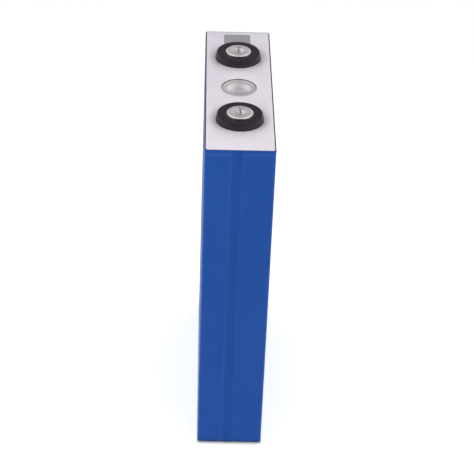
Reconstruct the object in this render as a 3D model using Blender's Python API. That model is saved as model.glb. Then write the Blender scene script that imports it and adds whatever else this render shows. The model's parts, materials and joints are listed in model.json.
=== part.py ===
"""Prismatic lithium iron phosphate battery cell, about 100 Ah, with its casing, lid, terminals,
vent, insulation and wound electrode cores, each as a solid of its own.

Frame: metres. +Z up out of the lid, X across the thickness, Y across the width.
The origin is the centre of the bottom face of the wrapped cell.
Dimensions are in millimetres; add() scales the finished meshes to metres.
"""

import math

import bmesh
import bpy
from mathutils import Matrix, Vector

MM = 0.001

# ---------------------------------------------------------------- driving dimensions
THICKNESS = 36.35         # X, over the film
WIDTH = 130.3             # Y, over the film's laps
LID_TOP = 195.5           # Z of the bare lid's top face
LIP_TOP = 195.7           # Z of the film folded in over the lid
TERMINAL_TOP = 200.5      # Z of the busbar faces
TERMINAL_PITCH = 67.8     # between the two terminal centres, along Y

FILM = 0.15               # outer film, one layer
FIT = 0.05                # clearance between layers that touch in the real cell
CORNER_R = 1.5            # vertical corners, over the film
FOOT = 0.45               # three layers of film where its ends are folded under the cell
PAD_SHEET = 0.25          # insulating sheet under the can
CAN_WALL = 0.8
CAN_BOTTOM = 1.2
LID_THICK = 2.0

RING_BASE_R = 12.4        # thin flange of the black insulator collar
PAD_R = 6.9               # busbar disc of the terminal
PAD_BOTTOM = 197.3
POLE_R = 4.9              # stem under the busbar disc
POLE_FLANGE_R = 8.0
FLANGE_THICK = 1.4
FLANGE_DROP = 1.0         # thickness of gasket between lid and pole flange, with its fit
GASKET_R = 5.9            # gasket sleeve through the lid

VENT_R = 9.45             # dished rupture disc
VENT_SKIN = 0.4
FILL_Y = 15.4             # electrolyte port, hidden under the white sheet

CORE_Z = (4.0, 185.0)     # bottom and top of the separators
OVERCUT = 1.0             # cutters run past the faces they go through
DEEP_OVERCUT = 1.8        # the same, past the far face of the collectors and spacer
OPEN_TOP = 5.0            # cutters of open hollows run past the rim

# Levels and half sizes that follow
HALF_X = THICKNESS / 2
HALF_Y = WIDTH / 2 - FILM             # the lap on each narrow face adds one film
CAN_X, CAN_Y = HALF_X - FILM - FIT, HALF_Y - FILM - FIT
CAN_R = CORNER_R - FILM - FIT
PAD_Z = FOOT + FIT
CAN_Z = PAD_Z + PAD_SHEET + FIT
INSIDE_X, INSIDE_Y, INSIDE_Z = CAN_X - CAN_WALL, CAN_Y - CAN_WALL, CAN_Z + CAN_BOTTOM
INSIDE_R = CAN_R - CAN_WALL
LID_BOTTOM = LID_TOP - LID_THICK
FLANGE_TOP = LID_BOTTOM - FLANGE_DROP - FIT
FLANGE_BOTTOM = FLANGE_TOP - FLANGE_THICK

SIGNS = {"negative": -1, "positive": 1}
POLES = {side: sign * TERMINAL_PITCH / 2 for side, sign in SIGNS.items()}

for old in list(bpy.data.objects):
    bpy.data.objects.remove(old, do_unlink=True)


# ---------------------------------------------------------------- materials
def material(name, colour, roughness, metallic=0.0):
    made = bpy.data.materials.new(name)
    made.use_nodes = True
    shader = made.node_tree.nodes["Principled BSDF"]
    shader.inputs["Base Color"].default_value = (*colour, 1.0)
    shader.inputs["Roughness"].default_value = roughness
    shader.inputs["Metallic"].default_value = metallic
    made.diffuse_color = (*colour, 1.0)
    return made


def metal(name, colour, roughness):
    return material(name, colour, roughness, metallic=1.0)


BLUE_FILM = material("blue_film", colour=(0.022, 0.085, 0.36), roughness=0.38)
WHITE_SHEET = material("white_sheet", colour=(0.72, 0.69, 0.73), roughness=0.5)
GREY_LABEL = material("grey_label", colour=(0.36, 0.36, 0.37), roughness=0.6)
BLACK_PLASTIC = material("black_plastic", colour=(0.028, 0.025, 0.028), roughness=0.5)
ALUMINIUM = metal("aluminium", colour=(0.70, 0.70, 0.70), roughness=0.32)
VENT_ALUMINIUM = metal("vent_aluminium", colour=(0.66, 0.64, 0.62), roughness=0.36)
NICKEL = metal("nickel_plate", colour=(0.68, 0.68, 0.69), roughness=0.28)
COPPER = metal("copper", colour=(0.72, 0.36, 0.22), roughness=0.35)
SEAL_RUBBER = material("seal_rubber", colour=(0.03, 0.03, 0.03), roughness=0.8)
CLEAR_PP = material("natural_polypropylene", colour=(0.62, 0.63, 0.62), roughness=0.55)
ANODE_COAT = material("graphite_coating", colour=(0.025, 0.026, 0.03), roughness=0.75)
CATHODE_COAT = material("iron_phosphate_coating", colour=(0.06, 0.06, 0.065), roughness=0.85)
SEPARATOR_FILM = material("separator_film", colour=(0.82, 0.82, 0.80), roughness=0.6)
GREEN_TAPE = material("core_tape", colour=(0.05, 0.30, 0.16), roughness=0.45)
BAG_FILM = material("core_bag_film", colour=(0.55, 0.58, 0.60), roughness=0.4)

TERMINAL_METAL = {"negative": NICKEL, "positive": ALUMINIUM}
INNER_METAL = {"negative": COPPER, "positive": ALUMINIUM}


# ---------------------------------------------------------------- objects
def empty(name, location=(0, 0, 0), parent=None):
    made = bpy.data.objects.new(name, None)
    made.empty_display_size = 0.01
    made.location = Vector(location) * MM
    made.parent = parent
    bpy.context.scene.collection.objects.link(made)
    return made


CELL = empty("cell")
CORE_PACK = empty("core_pack", parent=CELL)
STATION = {side: empty(side + "_station", (0, y, 0), CELL) for side, y in POLES.items()}


def add(name, bm, mat, parent=CELL, smooth=None):
    """A named object from a bmesh drawn in millimetres; smooth is the sharp-edge angle."""
    bmesh.ops.remove_doubles(bm, verts=bm.verts, dist=1e-5)
    bmesh.ops.dissolve_degenerate(bm, edges=bm.edges, dist=1e-5)
    bmesh.ops.recalc_face_normals(bm, faces=bm.faces)
    bmesh.ops.scale(bm, vec=(MM, MM, MM), verts=bm.verts)
    mesh = bpy.data.meshes.new(name)
    bm.to_mesh(mesh)
    bm.free()
    made = bpy.data.objects.new(name, mesh)
    bpy.context.scene.collection.objects.link(made)
    made.parent = parent
    mesh.materials.append(mat)
    if smooth:
        mesh.shade_smooth()
        mesh.set_sharp_from_angle(angle=math.radians(smooth))
    return made


def cut(target, name, bm):
    """Make a hidden cutter from the bmesh and subtract it from the target."""
    cutter = add(name, bm, BLACK_PLASTIC)
    cutter.hide_render = True
    cutter.display_type = "WIRE"
    modifier = target.modifiers.new("cut_" + name, "BOOLEAN")
    modifier.operation = "DIFFERENCE"
    modifier.solver = "EXACT"
    modifier.object = cutter


# ---------------------------------------------------------------- shape helpers
def rounded_rect(half_x, half_y, radius, steps=4, x=0.0, y=0.0):
    """Anticlockwise outline of a rectangle with round corners, centred on (x, y)."""
    points = []
    for corner, (sign_x, sign_y) in enumerate(((1, 1), (-1, 1), (-1, -1), (1, -1))):
        arc_x, arc_y = x + sign_x * (half_x - radius), y + sign_y * (half_y - radius)
        for i in range(steps + 1):
            angle = math.pi / 2 * (corner + i / steps)
            points.append((arc_x + radius * math.cos(angle), arc_y + radius * math.sin(angle)))
    return points


def circle(radius, steps, x=0.0, y=0.0):
    angles = [2 * math.pi * i / steps for i in range(steps)]
    return [(x + radius * math.cos(a), y + radius * math.sin(a)) for a in angles]


def extrude(bm, faces, offset):
    raised = bmesh.ops.extrude_face_region(bm, geom=faces, use_keep_orig=True)
    moved = [v for v in raised["geom"] if isinstance(v, bmesh.types.BMVert)]
    bmesh.ops.translate(bm, verts=moved, vec=offset)
    return bm


def prism(outline, z0, z1, bm=None):
    """The outline as a face at z0, extruded up to z1; added to bm if one is given."""
    bm = bm or bmesh.new()
    face = bm.faces.new([bm.verts.new((x, y, z0)) for x, y in outline])
    return extrude(bm, [face], (0, 0, z1 - z0))


def turned(profile, steps, y=0.0):
    """A (radius, z) profile spun about the vertical axis through (0, y).

    A profile that doesn't both start and end on the axis is closed into a loop.
    """
    bm = bmesh.new()
    verts = [bm.verts.new((r, 0, z)) for r, z in profile]
    edges = [bm.edges.new(pair) for pair in zip(verts, verts[1:])]
    if profile[0][0] > 1e-6 or profile[-1][0] > 1e-6:
        edges.append(bm.edges.new((verts[-1], verts[0])))
    bmesh.ops.spin(
        bm, geom=verts + edges, cent=(0, 0, 0), axis=(0, 0, 1),
        angle=2 * math.pi, steps=steps, use_merge=True, use_duplicate=False,
    )
    bmesh.ops.translate(bm, verts=bm.verts, vec=(0, y, 0))
    return bm


def band(inner_path, outer_path, z0, z1):
    """A strip of material between two paths of equal length, standing from z0 to z1."""
    bm = bmesh.new()
    inner = [bm.verts.new((x, y, z0)) for x, y in inner_path]
    outer = [bm.verts.new((x, y, z0)) for x, y in outer_path]
    for i in range(len(inner) - 1):
        bm.faces.new((inner[i], inner[i + 1], outer[i + 1], outer[i]))
    bmesh.ops.remove_doubles(bm, verts=bm.verts, dist=1e-5)
    return extrude(bm, bm.faces[:], (0, 0, z1 - z0))


def loft(levels):
    """(z, outline) levels of equal point count, skinned into one solid."""
    bm = bmesh.new()
    rows = [[bm.verts.new((x, y, z)) for x, y in outline] for z, outline in levels]
    count = len(rows[0])
    for low, high in zip(rows, rows[1:]):
        for i in range(count):
            j = (i + 1) % count
            bm.faces.new((low[i], low[j], high[j], high[i]))
    bm.faces.new(rows[0][::-1])
    bm.faces.new(rows[-1])
    return bm


def tub(outline_at, z0, z1, radius, steps=3, top=()):
    """A block with a rounded bottom edge; outline_at(inset) gives its outline moved inward."""
    levels = []
    for i in range(steps + 1):
        angle = math.pi / 2 * i / steps
        inset = radius * (1 - math.sin(angle))
        levels.append((z0 + radius * (1 - math.cos(angle)), outline_at(inset)))
    return loft(levels + [(z1, outline_at(0))] + list(top))


# ---------------------------------------------------------------- outer film
FOOT_R = 1.1              # bottom edges, over the film
LIP = 2.2                 # width of the film's top edge folded in over the lid
LAP_X = (-4.5, 1.3)       # where the two side flaps overlap on each narrow face
LAP_RAMPS = (0.35, 0.05)  # run of the step beyond the -X and +X ends of the lap
HOLLOW_MIN_R = 0.3
LIP_EDGE = ((0.4, 0), (0.2, 0.05), (0.06, 0.2), (0, 0.4))  # (drop below LIP_TOP, inset)


def film_outline(inset):
    """Outer face of the film: each narrow face carries the doubled lap, proud by one film."""
    plain = rounded_rect(HALF_X - inset, HALF_Y - inset, CORNER_R - inset)
    outline = []
    for i, point in enumerate(plain):
        outline.append(point)
        after = plain[(i + 1) % len(plain)]
        on_narrow_face = abs(point[1] - after[1]) < 1e-9 and abs(point[0] - after[0]) > 10
        if on_narrow_face:
            side = 1 if point[1] > 0 else -1
            face_y, lap_y = side * (HALF_Y - inset), side * (HALF_Y - inset + FILM)
            step = [(LAP_X[0] - LAP_RAMPS[0], face_y), (LAP_X[0], lap_y),
                    (LAP_X[1], lap_y), (LAP_X[1] + LAP_RAMPS[1], face_y)]
            outline += step if after[0] > point[0] else step[::-1]
    return outline


def hollow_outline(inset):
    radius = max(CORNER_R - FILM - inset, HOLLOW_MIN_R)
    return rounded_rect(HALF_X - FILM - inset, HALF_Y - FILM - inset, radius)


wrap = add("outer_wrap", tub(
    film_outline, 0, LIP_TOP - LIP_EDGE[0][0], FOOT_R,
    top=[(LIP_TOP - drop, film_outline(inset)) for drop, inset in LIP_EDGE[1:]],
), BLUE_FILM, smooth=35)
cut(wrap, "wrap_hollow", tub(
    hollow_outline, FOOT, LIP_TOP - FILM, FOOT_R - FOOT,
    top=[(z, hollow_outline(LIP)) for z in (LIP_TOP - FILM, LIP_TOP + OPEN_TOP)],
))

# ---------------------------------------------------------------- sheet under the can
PAD_INSET = 1.6           # from the can's walls
pad_outline = rounded_rect(CAN_X - PAD_INSET, CAN_Y - PAD_INSET, 1.0, steps=3)
add("bottom_pad", prism(pad_outline, PAD_Z, PAD_Z + PAD_SHEET), CLEAR_PP)

# ---------------------------------------------------------------- can
CAN_FOOT_R = 0.8


def can_outline(inset):
    return rounded_rect(CAN_X - inset, CAN_Y - inset, CAN_R - inset)


can = add("can", tub(can_outline, CAN_Z, LID_TOP, CAN_FOOT_R, steps=2), ALUMINIUM, smooth=50)
cut(can, "can_hollow", prism(
    rounded_rect(INSIDE_X, INSIDE_Y, INSIDE_R, steps=3), INSIDE_Z, LID_TOP + OPEN_TOP))

# ---------------------------------------------------------------- lid, with its bores
LID_HOLE_R = 5.95
VENT_HOLE_R = 8.75        # vent opening under its seat
VENT_MOUTH_R = VENT_HOLE_R - 1.6      # at the lid's underside
VENT_SEAT = LID_TOP - VENT_SKIN - FIT
FILL_R = 1.6
FILL_CAP_R = 3.5
FILL_SEAT = LID_TOP - 1.0

lid_under, lid_over = LID_BOTTOM - OVERCUT, LID_TOP + OVERCUT
lid_outline = rounded_rect(INSIDE_X - FIT, INSIDE_Y - FIT, INSIDE_R, steps=3)
lid = add("lid", prism(lid_outline, LID_BOTTOM, LID_TOP), ALUMINIUM)
for side, y in POLES.items():
    cut(lid, "lid_bore_" + side, prism(circle(LID_HOLE_R, 32, y=y), lid_under, lid_over))
cut(lid, "lid_bore_vent", turned([
    (0, lid_under), (VENT_MOUTH_R, lid_under), (VENT_MOUTH_R, LID_BOTTOM),
    (VENT_HOLE_R, VENT_SEAT), (VENT_R + FIT, VENT_SEAT), (VENT_R + FIT, lid_over), (0, lid_over),
], 40))
cut(lid, "lid_bore_fill", turned([
    (0, lid_under), (FILL_R, lid_under), (FILL_R, FILL_SEAT),
    (FILL_CAP_R + FIT, FILL_SEAT), (FILL_CAP_R + FIT, lid_over), (0, lid_over),
], 24, FILL_Y))

# ---------------------------------------------------------------- vent: dished disc in the lid
VENT_FLAT_R = 3.1         # flat middle of the dish
VENT_FLAT_Z = LID_TOP - 1.3
VENT_SHOULDER_R = 6.4     # top of the dish's slope
VENT_SHOULDER_Z = LID_TOP - 0.28
GROOVE_R = 2.4            # V groove round the flat middle
GROOVE_HALF_WIDTH = 0.2
GROOVE_DEPTH = 0.12

add("vent_disc", turned([
    (0, VENT_FLAT_Z), (GROOVE_R - GROOVE_HALF_WIDTH, VENT_FLAT_Z),
    (GROOVE_R, VENT_FLAT_Z - GROOVE_DEPTH), (GROOVE_R + GROOVE_HALF_WIDTH, VENT_FLAT_Z),
    (VENT_FLAT_R, VENT_FLAT_Z), (VENT_SHOULDER_R, VENT_SHOULDER_Z),
    (VENT_R - 1.0, LID_TOP - 0.12), (VENT_R - 0.8, LID_TOP),
    (VENT_R, LID_TOP), (VENT_R, LID_TOP - VENT_SKIN), (VENT_R - 0.85, LID_TOP - VENT_SKIN),
    (VENT_SHOULDER_R - 0.05, VENT_SHOULDER_Z - VENT_SKIN),
    (VENT_FLAT_R - 0.1, VENT_FLAT_Z - VENT_SKIN), (0, VENT_FLAT_Z - VENT_SKIN),
], 40), VENT_ALUMINIUM, smooth=30)

# ---------------------------------------------------------------- fill port: rubber plug, flush cap
FILL_CAP_THICK = 0.9
PLUG_R = FILL_R - 0.05
plug_top, plug_bottom = FILL_SEAT - FIT, LID_BOTTOM - 0.6
add("fill_port_plug", turned([
    (0, plug_top), (PLUG_R - 0.1, plug_top), (PLUG_R, plug_top - 0.4),
    (PLUG_R, LID_BOTTOM + 0.2), (PLUG_R - 0.45, plug_bottom), (0, plug_bottom),
], 24, FILL_Y), SEAL_RUBBER, smooth=40)
cap_bottom = LID_TOP - FILL_CAP_THICK
add("fill_port_cap", turned(
    [(0, LID_TOP), (FILL_CAP_R, LID_TOP), (FILL_CAP_R, cap_bottom), (0, cap_bottom)],
    24, FILL_Y), ALUMINIUM, smooth=30)

# ---------------------------------------------------------------- white sheet on the lid
SHEET = 0.3
SHEET_INSET = 0.7         # from the film's outer face
SHEET_Z0 = LIP_TOP + FIT
SHEET_Z1 = SHEET_Z0 + SHEET


def flat_sheet(name, outlines, z0, z1, mat):
    """A filled flat curve; outlines after the first are holes."""
    curve = bpy.data.curves.new(name, "CURVE")
    curve.dimensions = "2D"
    curve.fill_mode = "BOTH"
    curve.extrude = (z1 - z0) / 2 * MM
    for outline in outlines:
        spline = curve.splines.new("POLY")
        spline.points.add(len(outline) - 1)
        for point, (x, y) in zip(spline.points, outline):
            point.co = (x * MM, y * MM, 0, 1)
        spline.use_cyclic_u = True
    curve.materials.append(mat)
    made = bpy.data.objects.new(name, curve)
    bpy.context.scene.collection.objects.link(made)
    made.parent = CELL
    made.location = (0, 0, (z0 + z1) / 2 * MM)


sheet_edge = rounded_rect(HALF_X - SHEET_INSET, HALF_Y - SHEET_INSET, 1.0, steps=3)
collar_holes = [circle(RING_BASE_R + 0.15, 40, y=y) for y in POLES.values()]
vent_hole = circle(VENT_R + 0.1, 40)
flat_sheet("top_insulation_sheet", [sheet_edge, *collar_holes, vent_hole],
           SHEET_Z0, SHEET_Z1, WHITE_SHEET)

# ---------------------------------------------------------------- blank label, +Y of the positive collar
LABEL_HALF_X = 7.4
LABEL_X = -0.3
LABEL_Y = (POLES["positive"] + RING_BASE_R + 0.5, HALF_Y - 4.2)
label_outline = rounded_rect(LABEL_HALF_X, (LABEL_Y[1] - LABEL_Y[0]) / 2, 0.3, steps=2,
                             x=LABEL_X, y=sum(LABEL_Y) / 2)
add("id_label", prism(label_outline, SHEET_Z1 + 0.02, SHEET_Z1 + 0.08), GREY_LABEL)

# ---------------------------------------------------------------- terminals, as (radius, z) profiles
RING_BODY_R = 11.95       # slightly tapered collar body
RING_TOP_R = 11.85
RING_BOTTOM = LID_TOP + FIT
RING_TOP = 199.65
THREAD_MINOR_R = 2.5      # M6 x 1, blind
THREAD_BOTTOM = TERMINAL_TOP - 7.0
DRILL_TIP = 1.2           # cone below the thread
SINK_R = 3.3              # 45 degree countersink

stem_bore_r = POLE_R + FIT
sleeve_bore_r = GASKET_R + FIT
pad_bore_r = PAD_R + FIT
pad_seat = PAD_BOTTOM - FIT

ring_profile = [
    (sleeve_bore_r, RING_BOTTOM), (RING_BASE_R, RING_BOTTOM), (RING_BASE_R, RING_BOTTOM + 1.25),
    (RING_BASE_R - 0.2, RING_BOTTOM + 1.45), (RING_BODY_R, RING_BOTTOM + 1.7),
    (RING_TOP_R, RING_TOP - 0.4), (RING_TOP_R - 0.12, RING_TOP - 0.12),
    (RING_TOP_R - 0.4, RING_TOP), (PAD_R + 0.9, RING_TOP), (PAD_R + 0.6, RING_TOP - 0.3),
    (pad_bore_r, RING_TOP - 0.4), (pad_bore_r, pad_seat), (sleeve_bore_r, pad_seat),
]
terminal_profile = [
    (0, FLANGE_BOTTOM), (POLE_R, FLANGE_BOTTOM), (POLE_R, PAD_BOTTOM),
    (PAD_R - 0.2, PAD_BOTTOM), (PAD_R, PAD_BOTTOM + 0.2),
    (PAD_R, TERMINAL_TOP - 0.4), (PAD_R - 0.4, TERMINAL_TOP), (SINK_R, TERMINAL_TOP),
    (THREAD_MINOR_R, TERMINAL_TOP - (SINK_R - THREAD_MINOR_R)),
    (THREAD_MINOR_R, THREAD_BOTTOM), (0, THREAD_BOTTOM - DRILL_TIP),
]
flange_profile = [
    (stem_bore_r, FLANGE_TOP), (POLE_FLANGE_R, FLANGE_TOP), (POLE_FLANGE_R, FLANGE_BOTTOM + 0.3),
    (POLE_FLANGE_R - 0.3, FLANGE_BOTTOM), (stem_bore_r, FLANGE_BOTTOM),
]
gasket_profile = [
    (stem_bore_r, FLANGE_TOP + FIT), (POLE_FLANGE_R, FLANGE_TOP + FIT),
    (POLE_FLANGE_R, LID_BOTTOM - FIT), (GASKET_R, LID_BOTTOM - FIT),
    (GASKET_R, pad_seat), (stem_bore_r, pad_seat),
]
for side, station in STATION.items():
    add(side + "_terminal_ring", turned(ring_profile, 40), BLACK_PLASTIC, station, smooth=35)
    add(side + "_terminal", turned(terminal_profile, 32), TERMINAL_METAL[side], station, smooth=30)
    add(side + "_pole_flange", turned(flange_profile, 32), INNER_METAL[side], station, smooth=30)
    add(side + "_gasket", turned(gasket_profile, 32), SEAL_RUBBER, station, smooth=30)

# ---------------------------------------------------------------- insulators under the lid
INSULATOR_Z1 = LID_BOTTOM - 0.1
INSULATOR_Z0 = INSULATOR_Z1 - 1.5
INSULATOR_X = INSIDE_X - 0.7
INSULATOR_Y = (9.0, INSIDE_Y - 0.7)   # distance from the cell's middle to its near and far edge
FILL_BORE_R = 2.4


def side_plate(half_x, y_range, radius, sign, z0, z1):
    """A plate on the +Y or -Y side of the cell, spanning y_range from its middle."""
    near, far = y_range
    outline = rounded_rect(half_x, (far - near) / 2, radius, steps=3, y=sign * (far + near) / 2)
    return prism(outline, z0, z1)


bore_z = (INSULATOR_Z0 - OVERCUT, INSULATOR_Z1 + OVERCUT)
for side, y in POLES.items():
    plate = add(side + "_lower_insulator", side_plate(
        INSULATOR_X, INSULATOR_Y, 0.8, SIGNS[side], INSULATOR_Z0, INSULATOR_Z1), CLEAR_PP)
    cut(plate, side + "_insulator_bore", prism(circle(POLE_FLANGE_R + 0.3, 32, y=y), *bore_z))
    if side == "positive":
        cut(plate, "insulator_fill_bore", prism(circle(FILL_BORE_R, 20, y=FILL_Y), *bore_z))

# ---------------------------------------------------------------- slotted guard under the vent
GUARD_Z1 = INSULATOR_Z0 - 0.1
GUARD_Z0 = GUARD_Z1 - 1.0
GUARD_HALF_Y = 8.2
SLOT_COUNT = 5
SLOT_PITCH = 4.6
SLOT_HALF_X, SLOT_HALF_Y, SLOT_R = 1.3, 5.6, 1.2

guard_outline = rounded_rect(INSULATOR_X - 3, GUARD_HALF_Y, 0.8, steps=3)
guard = add("vent_guard", prism(guard_outline, GUARD_Z0, GUARD_Z1), CLEAR_PP)
slots = bmesh.new()
for i in range(SLOT_COUNT):
    x = (i - SLOT_COUNT // 2) * SLOT_PITCH
    prism(rounded_rect(SLOT_HALF_X, SLOT_HALF_Y, SLOT_R, steps=2, x=x),
          GUARD_Z0 - OVERCUT, GUARD_Z1 + OVERCUT, slots)
cut(guard, "guard_slots", slots)

# ---------------------------------------------------------------- collectors under the pole flanges
COLLECTOR_Z1 = FLANGE_BOTTOM - FIT
COLLECTOR_Z0 = COLLECTOR_Z1 - 1.2
COLLECTOR_HALF_X = 11.5
COLLECTOR_Y = (13.0, 56.0)
WINDOW_X, WINDOW_Y = 9.2, 47
WINDOW_HALF_X, WINDOW_HALF_Y, WINDOW_R = 1.2, 4.0, 0.8

for side, sign in SIGNS.items():
    plate = add(side + "_collector", side_plate(
        COLLECTOR_HALF_X, COLLECTOR_Y, 1.5, sign, COLLECTOR_Z0, COLLECTOR_Z1), INNER_METAL[side])
    windows = bmesh.new()
    for x in (-WINDOW_X, WINDOW_X):
        prism(rounded_rect(WINDOW_HALF_X, WINDOW_HALF_Y, WINDOW_R, 2, x, sign * WINDOW_Y),
              COLLECTOR_Z0 - DEEP_OVERCUT, COLLECTOR_Z1 + OVERCUT, windows)
    cut(plate, side + "_collector_windows", windows)

# ---------------------------------------------------------------- film bag round the cores
BAG = 0.2                 # film thickness
BAG_TOP = 188.0
BAG_Z = INSIDE_Z + 0.1
BAG_X, BAG_Y = INSIDE_X - 0.12, INSIDE_Y - 0.12
BAG_IN_X, BAG_IN_Y, BAG_IN_Z = BAG_X - BAG, BAG_Y - BAG, BAG_Z + BAG

bag = add("insulation_bag", prism(rounded_rect(BAG_X, BAG_Y, 0.9, 3), BAG_Z, BAG_TOP), BAG_FILM)
cut(bag, "bag_hollow", prism(
    rounded_rect(BAG_IN_X, BAG_IN_Y, 0.7, steps=3), BAG_IN_Z, BAG_TOP + OPEN_TOP))

# ---------------------------------------------------------------- spacer under the cores
SPACER_Z0 = BAG_IN_Z + 0.05
SPACER_Z1 = SPACER_Z0 + 1.2
DRAIN_R = 2.5
DRAIN_X = (-8.6, 8.6)
DRAIN_Y = (-48, -16, 16, 48)

spacer_outline = rounded_rect(BAG_IN_X - 0.3, BAG_IN_Y - 0.5, 0.8, steps=3)
spacer = add("bottom_spacer", prism(spacer_outline, SPACER_Z0, SPACER_Z1), CLEAR_PP)
drains = bmesh.new()
for y in DRAIN_Y:
    for x in DRAIN_X:
        prism(circle(DRAIN_R, 12, x, y), SPACER_Z0 - OVERCUT, SPACER_Z1 + DEEP_OVERCUT, drains)
cut(spacer, "spacer_drains", drains)

# ---------------------------------------------------------------- wound cores
CORE_TURNS = 3
CORE_ARC_STEPS = 8
CORE_SLIT_R = 0.6         # inside the first layer
ELECTRODE = 0.76          # one modelled turn stands for about ten real ones
SEPARATOR = 0.14
LAYER_GAP = 0.05
WIND_PITCH = 2 * (ELECTRODE + SEPARATOR + 2 * LAYER_GAP)
# From the inside out: material, thickness, trim at top and bottom,
# and how far short of the +Y arc the last straight run stops (before core_b is turned)
LAYERS = {
    "anode": (ANODE_COAT, ELECTRODE, 1.0, 6.0),
    "separator_inner": (SEPARATOR_FILM, SEPARATOR, 0.0, 3.0),
    "cathode": (CATHODE_COAT, ELECTRODE, 2.0, 9.0),
    "separator_outer": (SEPARATOR_FILM, SEPARATOR, 0.0, 0.0),
}
LAYERS_THICK = sum(row[1] for row in LAYERS.values()) + (len(LAYERS) - 1) * LAYER_GAP
CORE_R = CORE_SLIT_R + LAYERS_THICK + CORE_TURNS * WIND_PITCH
STRAIGHT = BAG_IN_Y - 0.3 - CORE_R    # half length of the straight runs
CORE_X = CORE_R + 0.35

TAPE = 0.08
TAPE_R = CORE_R - WIND_PITCH / 4 + 0.05
TAPE_WIDTH = 19.0
TAPE_Z = {"lower": 38.0, "upper": 132.0}

TAB_KIND = {"negative": "anode", "positive": "cathode"}
TAB_THICK = 0.6
TAB_WIDTH = 32.0
TAB_X = CORE_X + 0.3      # outer face of the upright part
TAB_END_X = 1.2           # free end, near the middle of the cell
TAB_FOOT_Z = CORE_Z[1] + 0.3
TAB_FOLD_Z = COLLECTOR_Z0 - 0.1


def half_circle(radius, end):
    """Points round the +Y (end = 1) or -Y (end = -1) end of a core."""
    angles = [math.pi * i / CORE_ARC_STEPS for i in range(CORE_ARC_STEPS + 1)]
    return [(end * radius * math.cos(a), end * (STRAIGHT + radius * math.sin(a))) for a in angles]


def spiral(start, tail):
    """Straight runs joined by half circles whose radius grows by half a pitch each time."""
    points = []
    for half_turn in range(2 * CORE_TURNS):
        end = 1 if half_turn % 2 == 0 else -1
        radius = start + WIND_PITCH / 4 + half_turn * WIND_PITCH / 2
        points += [(x - end * WIND_PITCH / 4, y) for x, y in half_circle(radius, end)]
    points.append((start + CORE_TURNS * WIND_PITCH, STRAIGHT - tail))
    return points


def belt(radius):
    """Closed stadium round the finished core."""
    points = half_circle(radius, 1) + half_circle(radius, -1)
    points = [(WIND_PITCH / 4 + x, y) for x, y in points]
    return points + points[:1]


def add_wound(name, bm, mat, station, sign):
    """The core on the +X side is the other one turned half round."""
    if sign > 0:
        half_turn = Matrix.Rotation(math.pi, 3, "Z")
        bmesh.ops.rotate(bm, verts=bm.verts, cent=(0, 0, 0), matrix=half_turn)
    add(name, bm, mat, station, smooth=40)


def foil_tab(sign, y):
    """Gathered above the core, folded in towards the middle, flat under the collector."""
    path = [
        (TAB_X, TAB_FOOT_Z), (TAB_X, TAB_FOLD_Z - 1.4), (TAB_X - 0.5, TAB_FOLD_Z - 0.35),
        (TAB_X - 1.3, TAB_FOLD_Z), (TAB_END_X, TAB_FOLD_Z), (TAB_END_X, TAB_FOLD_Z - TAB_THICK),
        (TAB_X - 1.3, TAB_FOLD_Z - TAB_THICK), (TAB_X - TAB_THICK, TAB_FOLD_Z - 1.5),
        (TAB_X - TAB_THICK, TAB_FOOT_Z),
    ]
    bm = bmesh.new()
    face = bm.faces.new([bm.verts.new((sign * x, y - TAB_WIDTH / 2, z)) for x, z in path])
    return extrude(bm, [face], (0, TAB_WIDTH, 0))


for core, sign in (("core_a", -1), ("core_b", 1)):
    station = empty(core + "_station", (sign * CORE_X, 0, 0), CORE_PACK)
    inside = CORE_SLIT_R
    for layer, (mat, thick, trim, tail) in LAYERS.items():
        bm = band(spiral(inside, tail), spiral(inside + thick, tail),
                  CORE_Z[0] + trim, CORE_Z[1] - trim)
        add_wound(f"{core}_{layer}", bm, mat, station, sign)
        inside += thick + LAYER_GAP

    for height, z in TAPE_Z.items():
        bm = band(belt(TAPE_R), belt(TAPE_R + TAPE), z, z + TAPE_WIDTH)
        add_wound(f"{core}_{height}_tape", bm, GREEN_TAPE, station, sign)

    for side, y in POLES.items():
        add(f"{core}_{TAB_KIND[side]}_tabs", foil_tab(sign, y), INNER_METAL[side], CORE_PACK)
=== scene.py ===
"""Looks for a prismatic battery cell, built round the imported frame.

The cell stands on z = 0, centred on the z axis. Its broad faces look along +X (right) and -X
(left), its narrow faces along -Y (front) and +Y (back). On top are a round vent in the middle and
a terminal in a collar on either side of it along Y.
Lengths are in millimetres unless a name says otherwise; meshes are written in metres.
"""

import math

import bmesh
import bpy
import json
import numpy as np
from mathutils import Matrix, Vector, noise
from mathutils.geometry import delaunay_2d_cdt


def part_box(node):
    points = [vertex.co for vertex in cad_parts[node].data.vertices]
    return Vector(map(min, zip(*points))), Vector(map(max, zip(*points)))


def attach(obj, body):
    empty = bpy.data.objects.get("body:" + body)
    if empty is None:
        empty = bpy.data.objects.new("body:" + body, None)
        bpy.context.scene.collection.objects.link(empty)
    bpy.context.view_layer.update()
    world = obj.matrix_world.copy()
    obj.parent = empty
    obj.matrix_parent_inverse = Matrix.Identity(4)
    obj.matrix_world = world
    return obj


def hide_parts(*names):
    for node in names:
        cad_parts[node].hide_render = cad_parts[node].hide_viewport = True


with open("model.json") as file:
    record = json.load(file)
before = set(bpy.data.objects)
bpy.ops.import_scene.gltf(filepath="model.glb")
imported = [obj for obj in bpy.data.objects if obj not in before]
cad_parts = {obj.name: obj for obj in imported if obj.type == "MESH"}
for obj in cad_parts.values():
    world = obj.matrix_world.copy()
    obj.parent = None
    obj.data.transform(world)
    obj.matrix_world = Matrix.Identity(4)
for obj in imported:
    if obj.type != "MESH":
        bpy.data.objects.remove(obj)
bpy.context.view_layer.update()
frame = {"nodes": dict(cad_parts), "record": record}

MM = 0.001


# ---------------------------------------------------------------- sizes and places from the frame
def node_box(node):
    low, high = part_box(node)
    return [c / MM for c in low], [c / MM for c in high]


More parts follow.
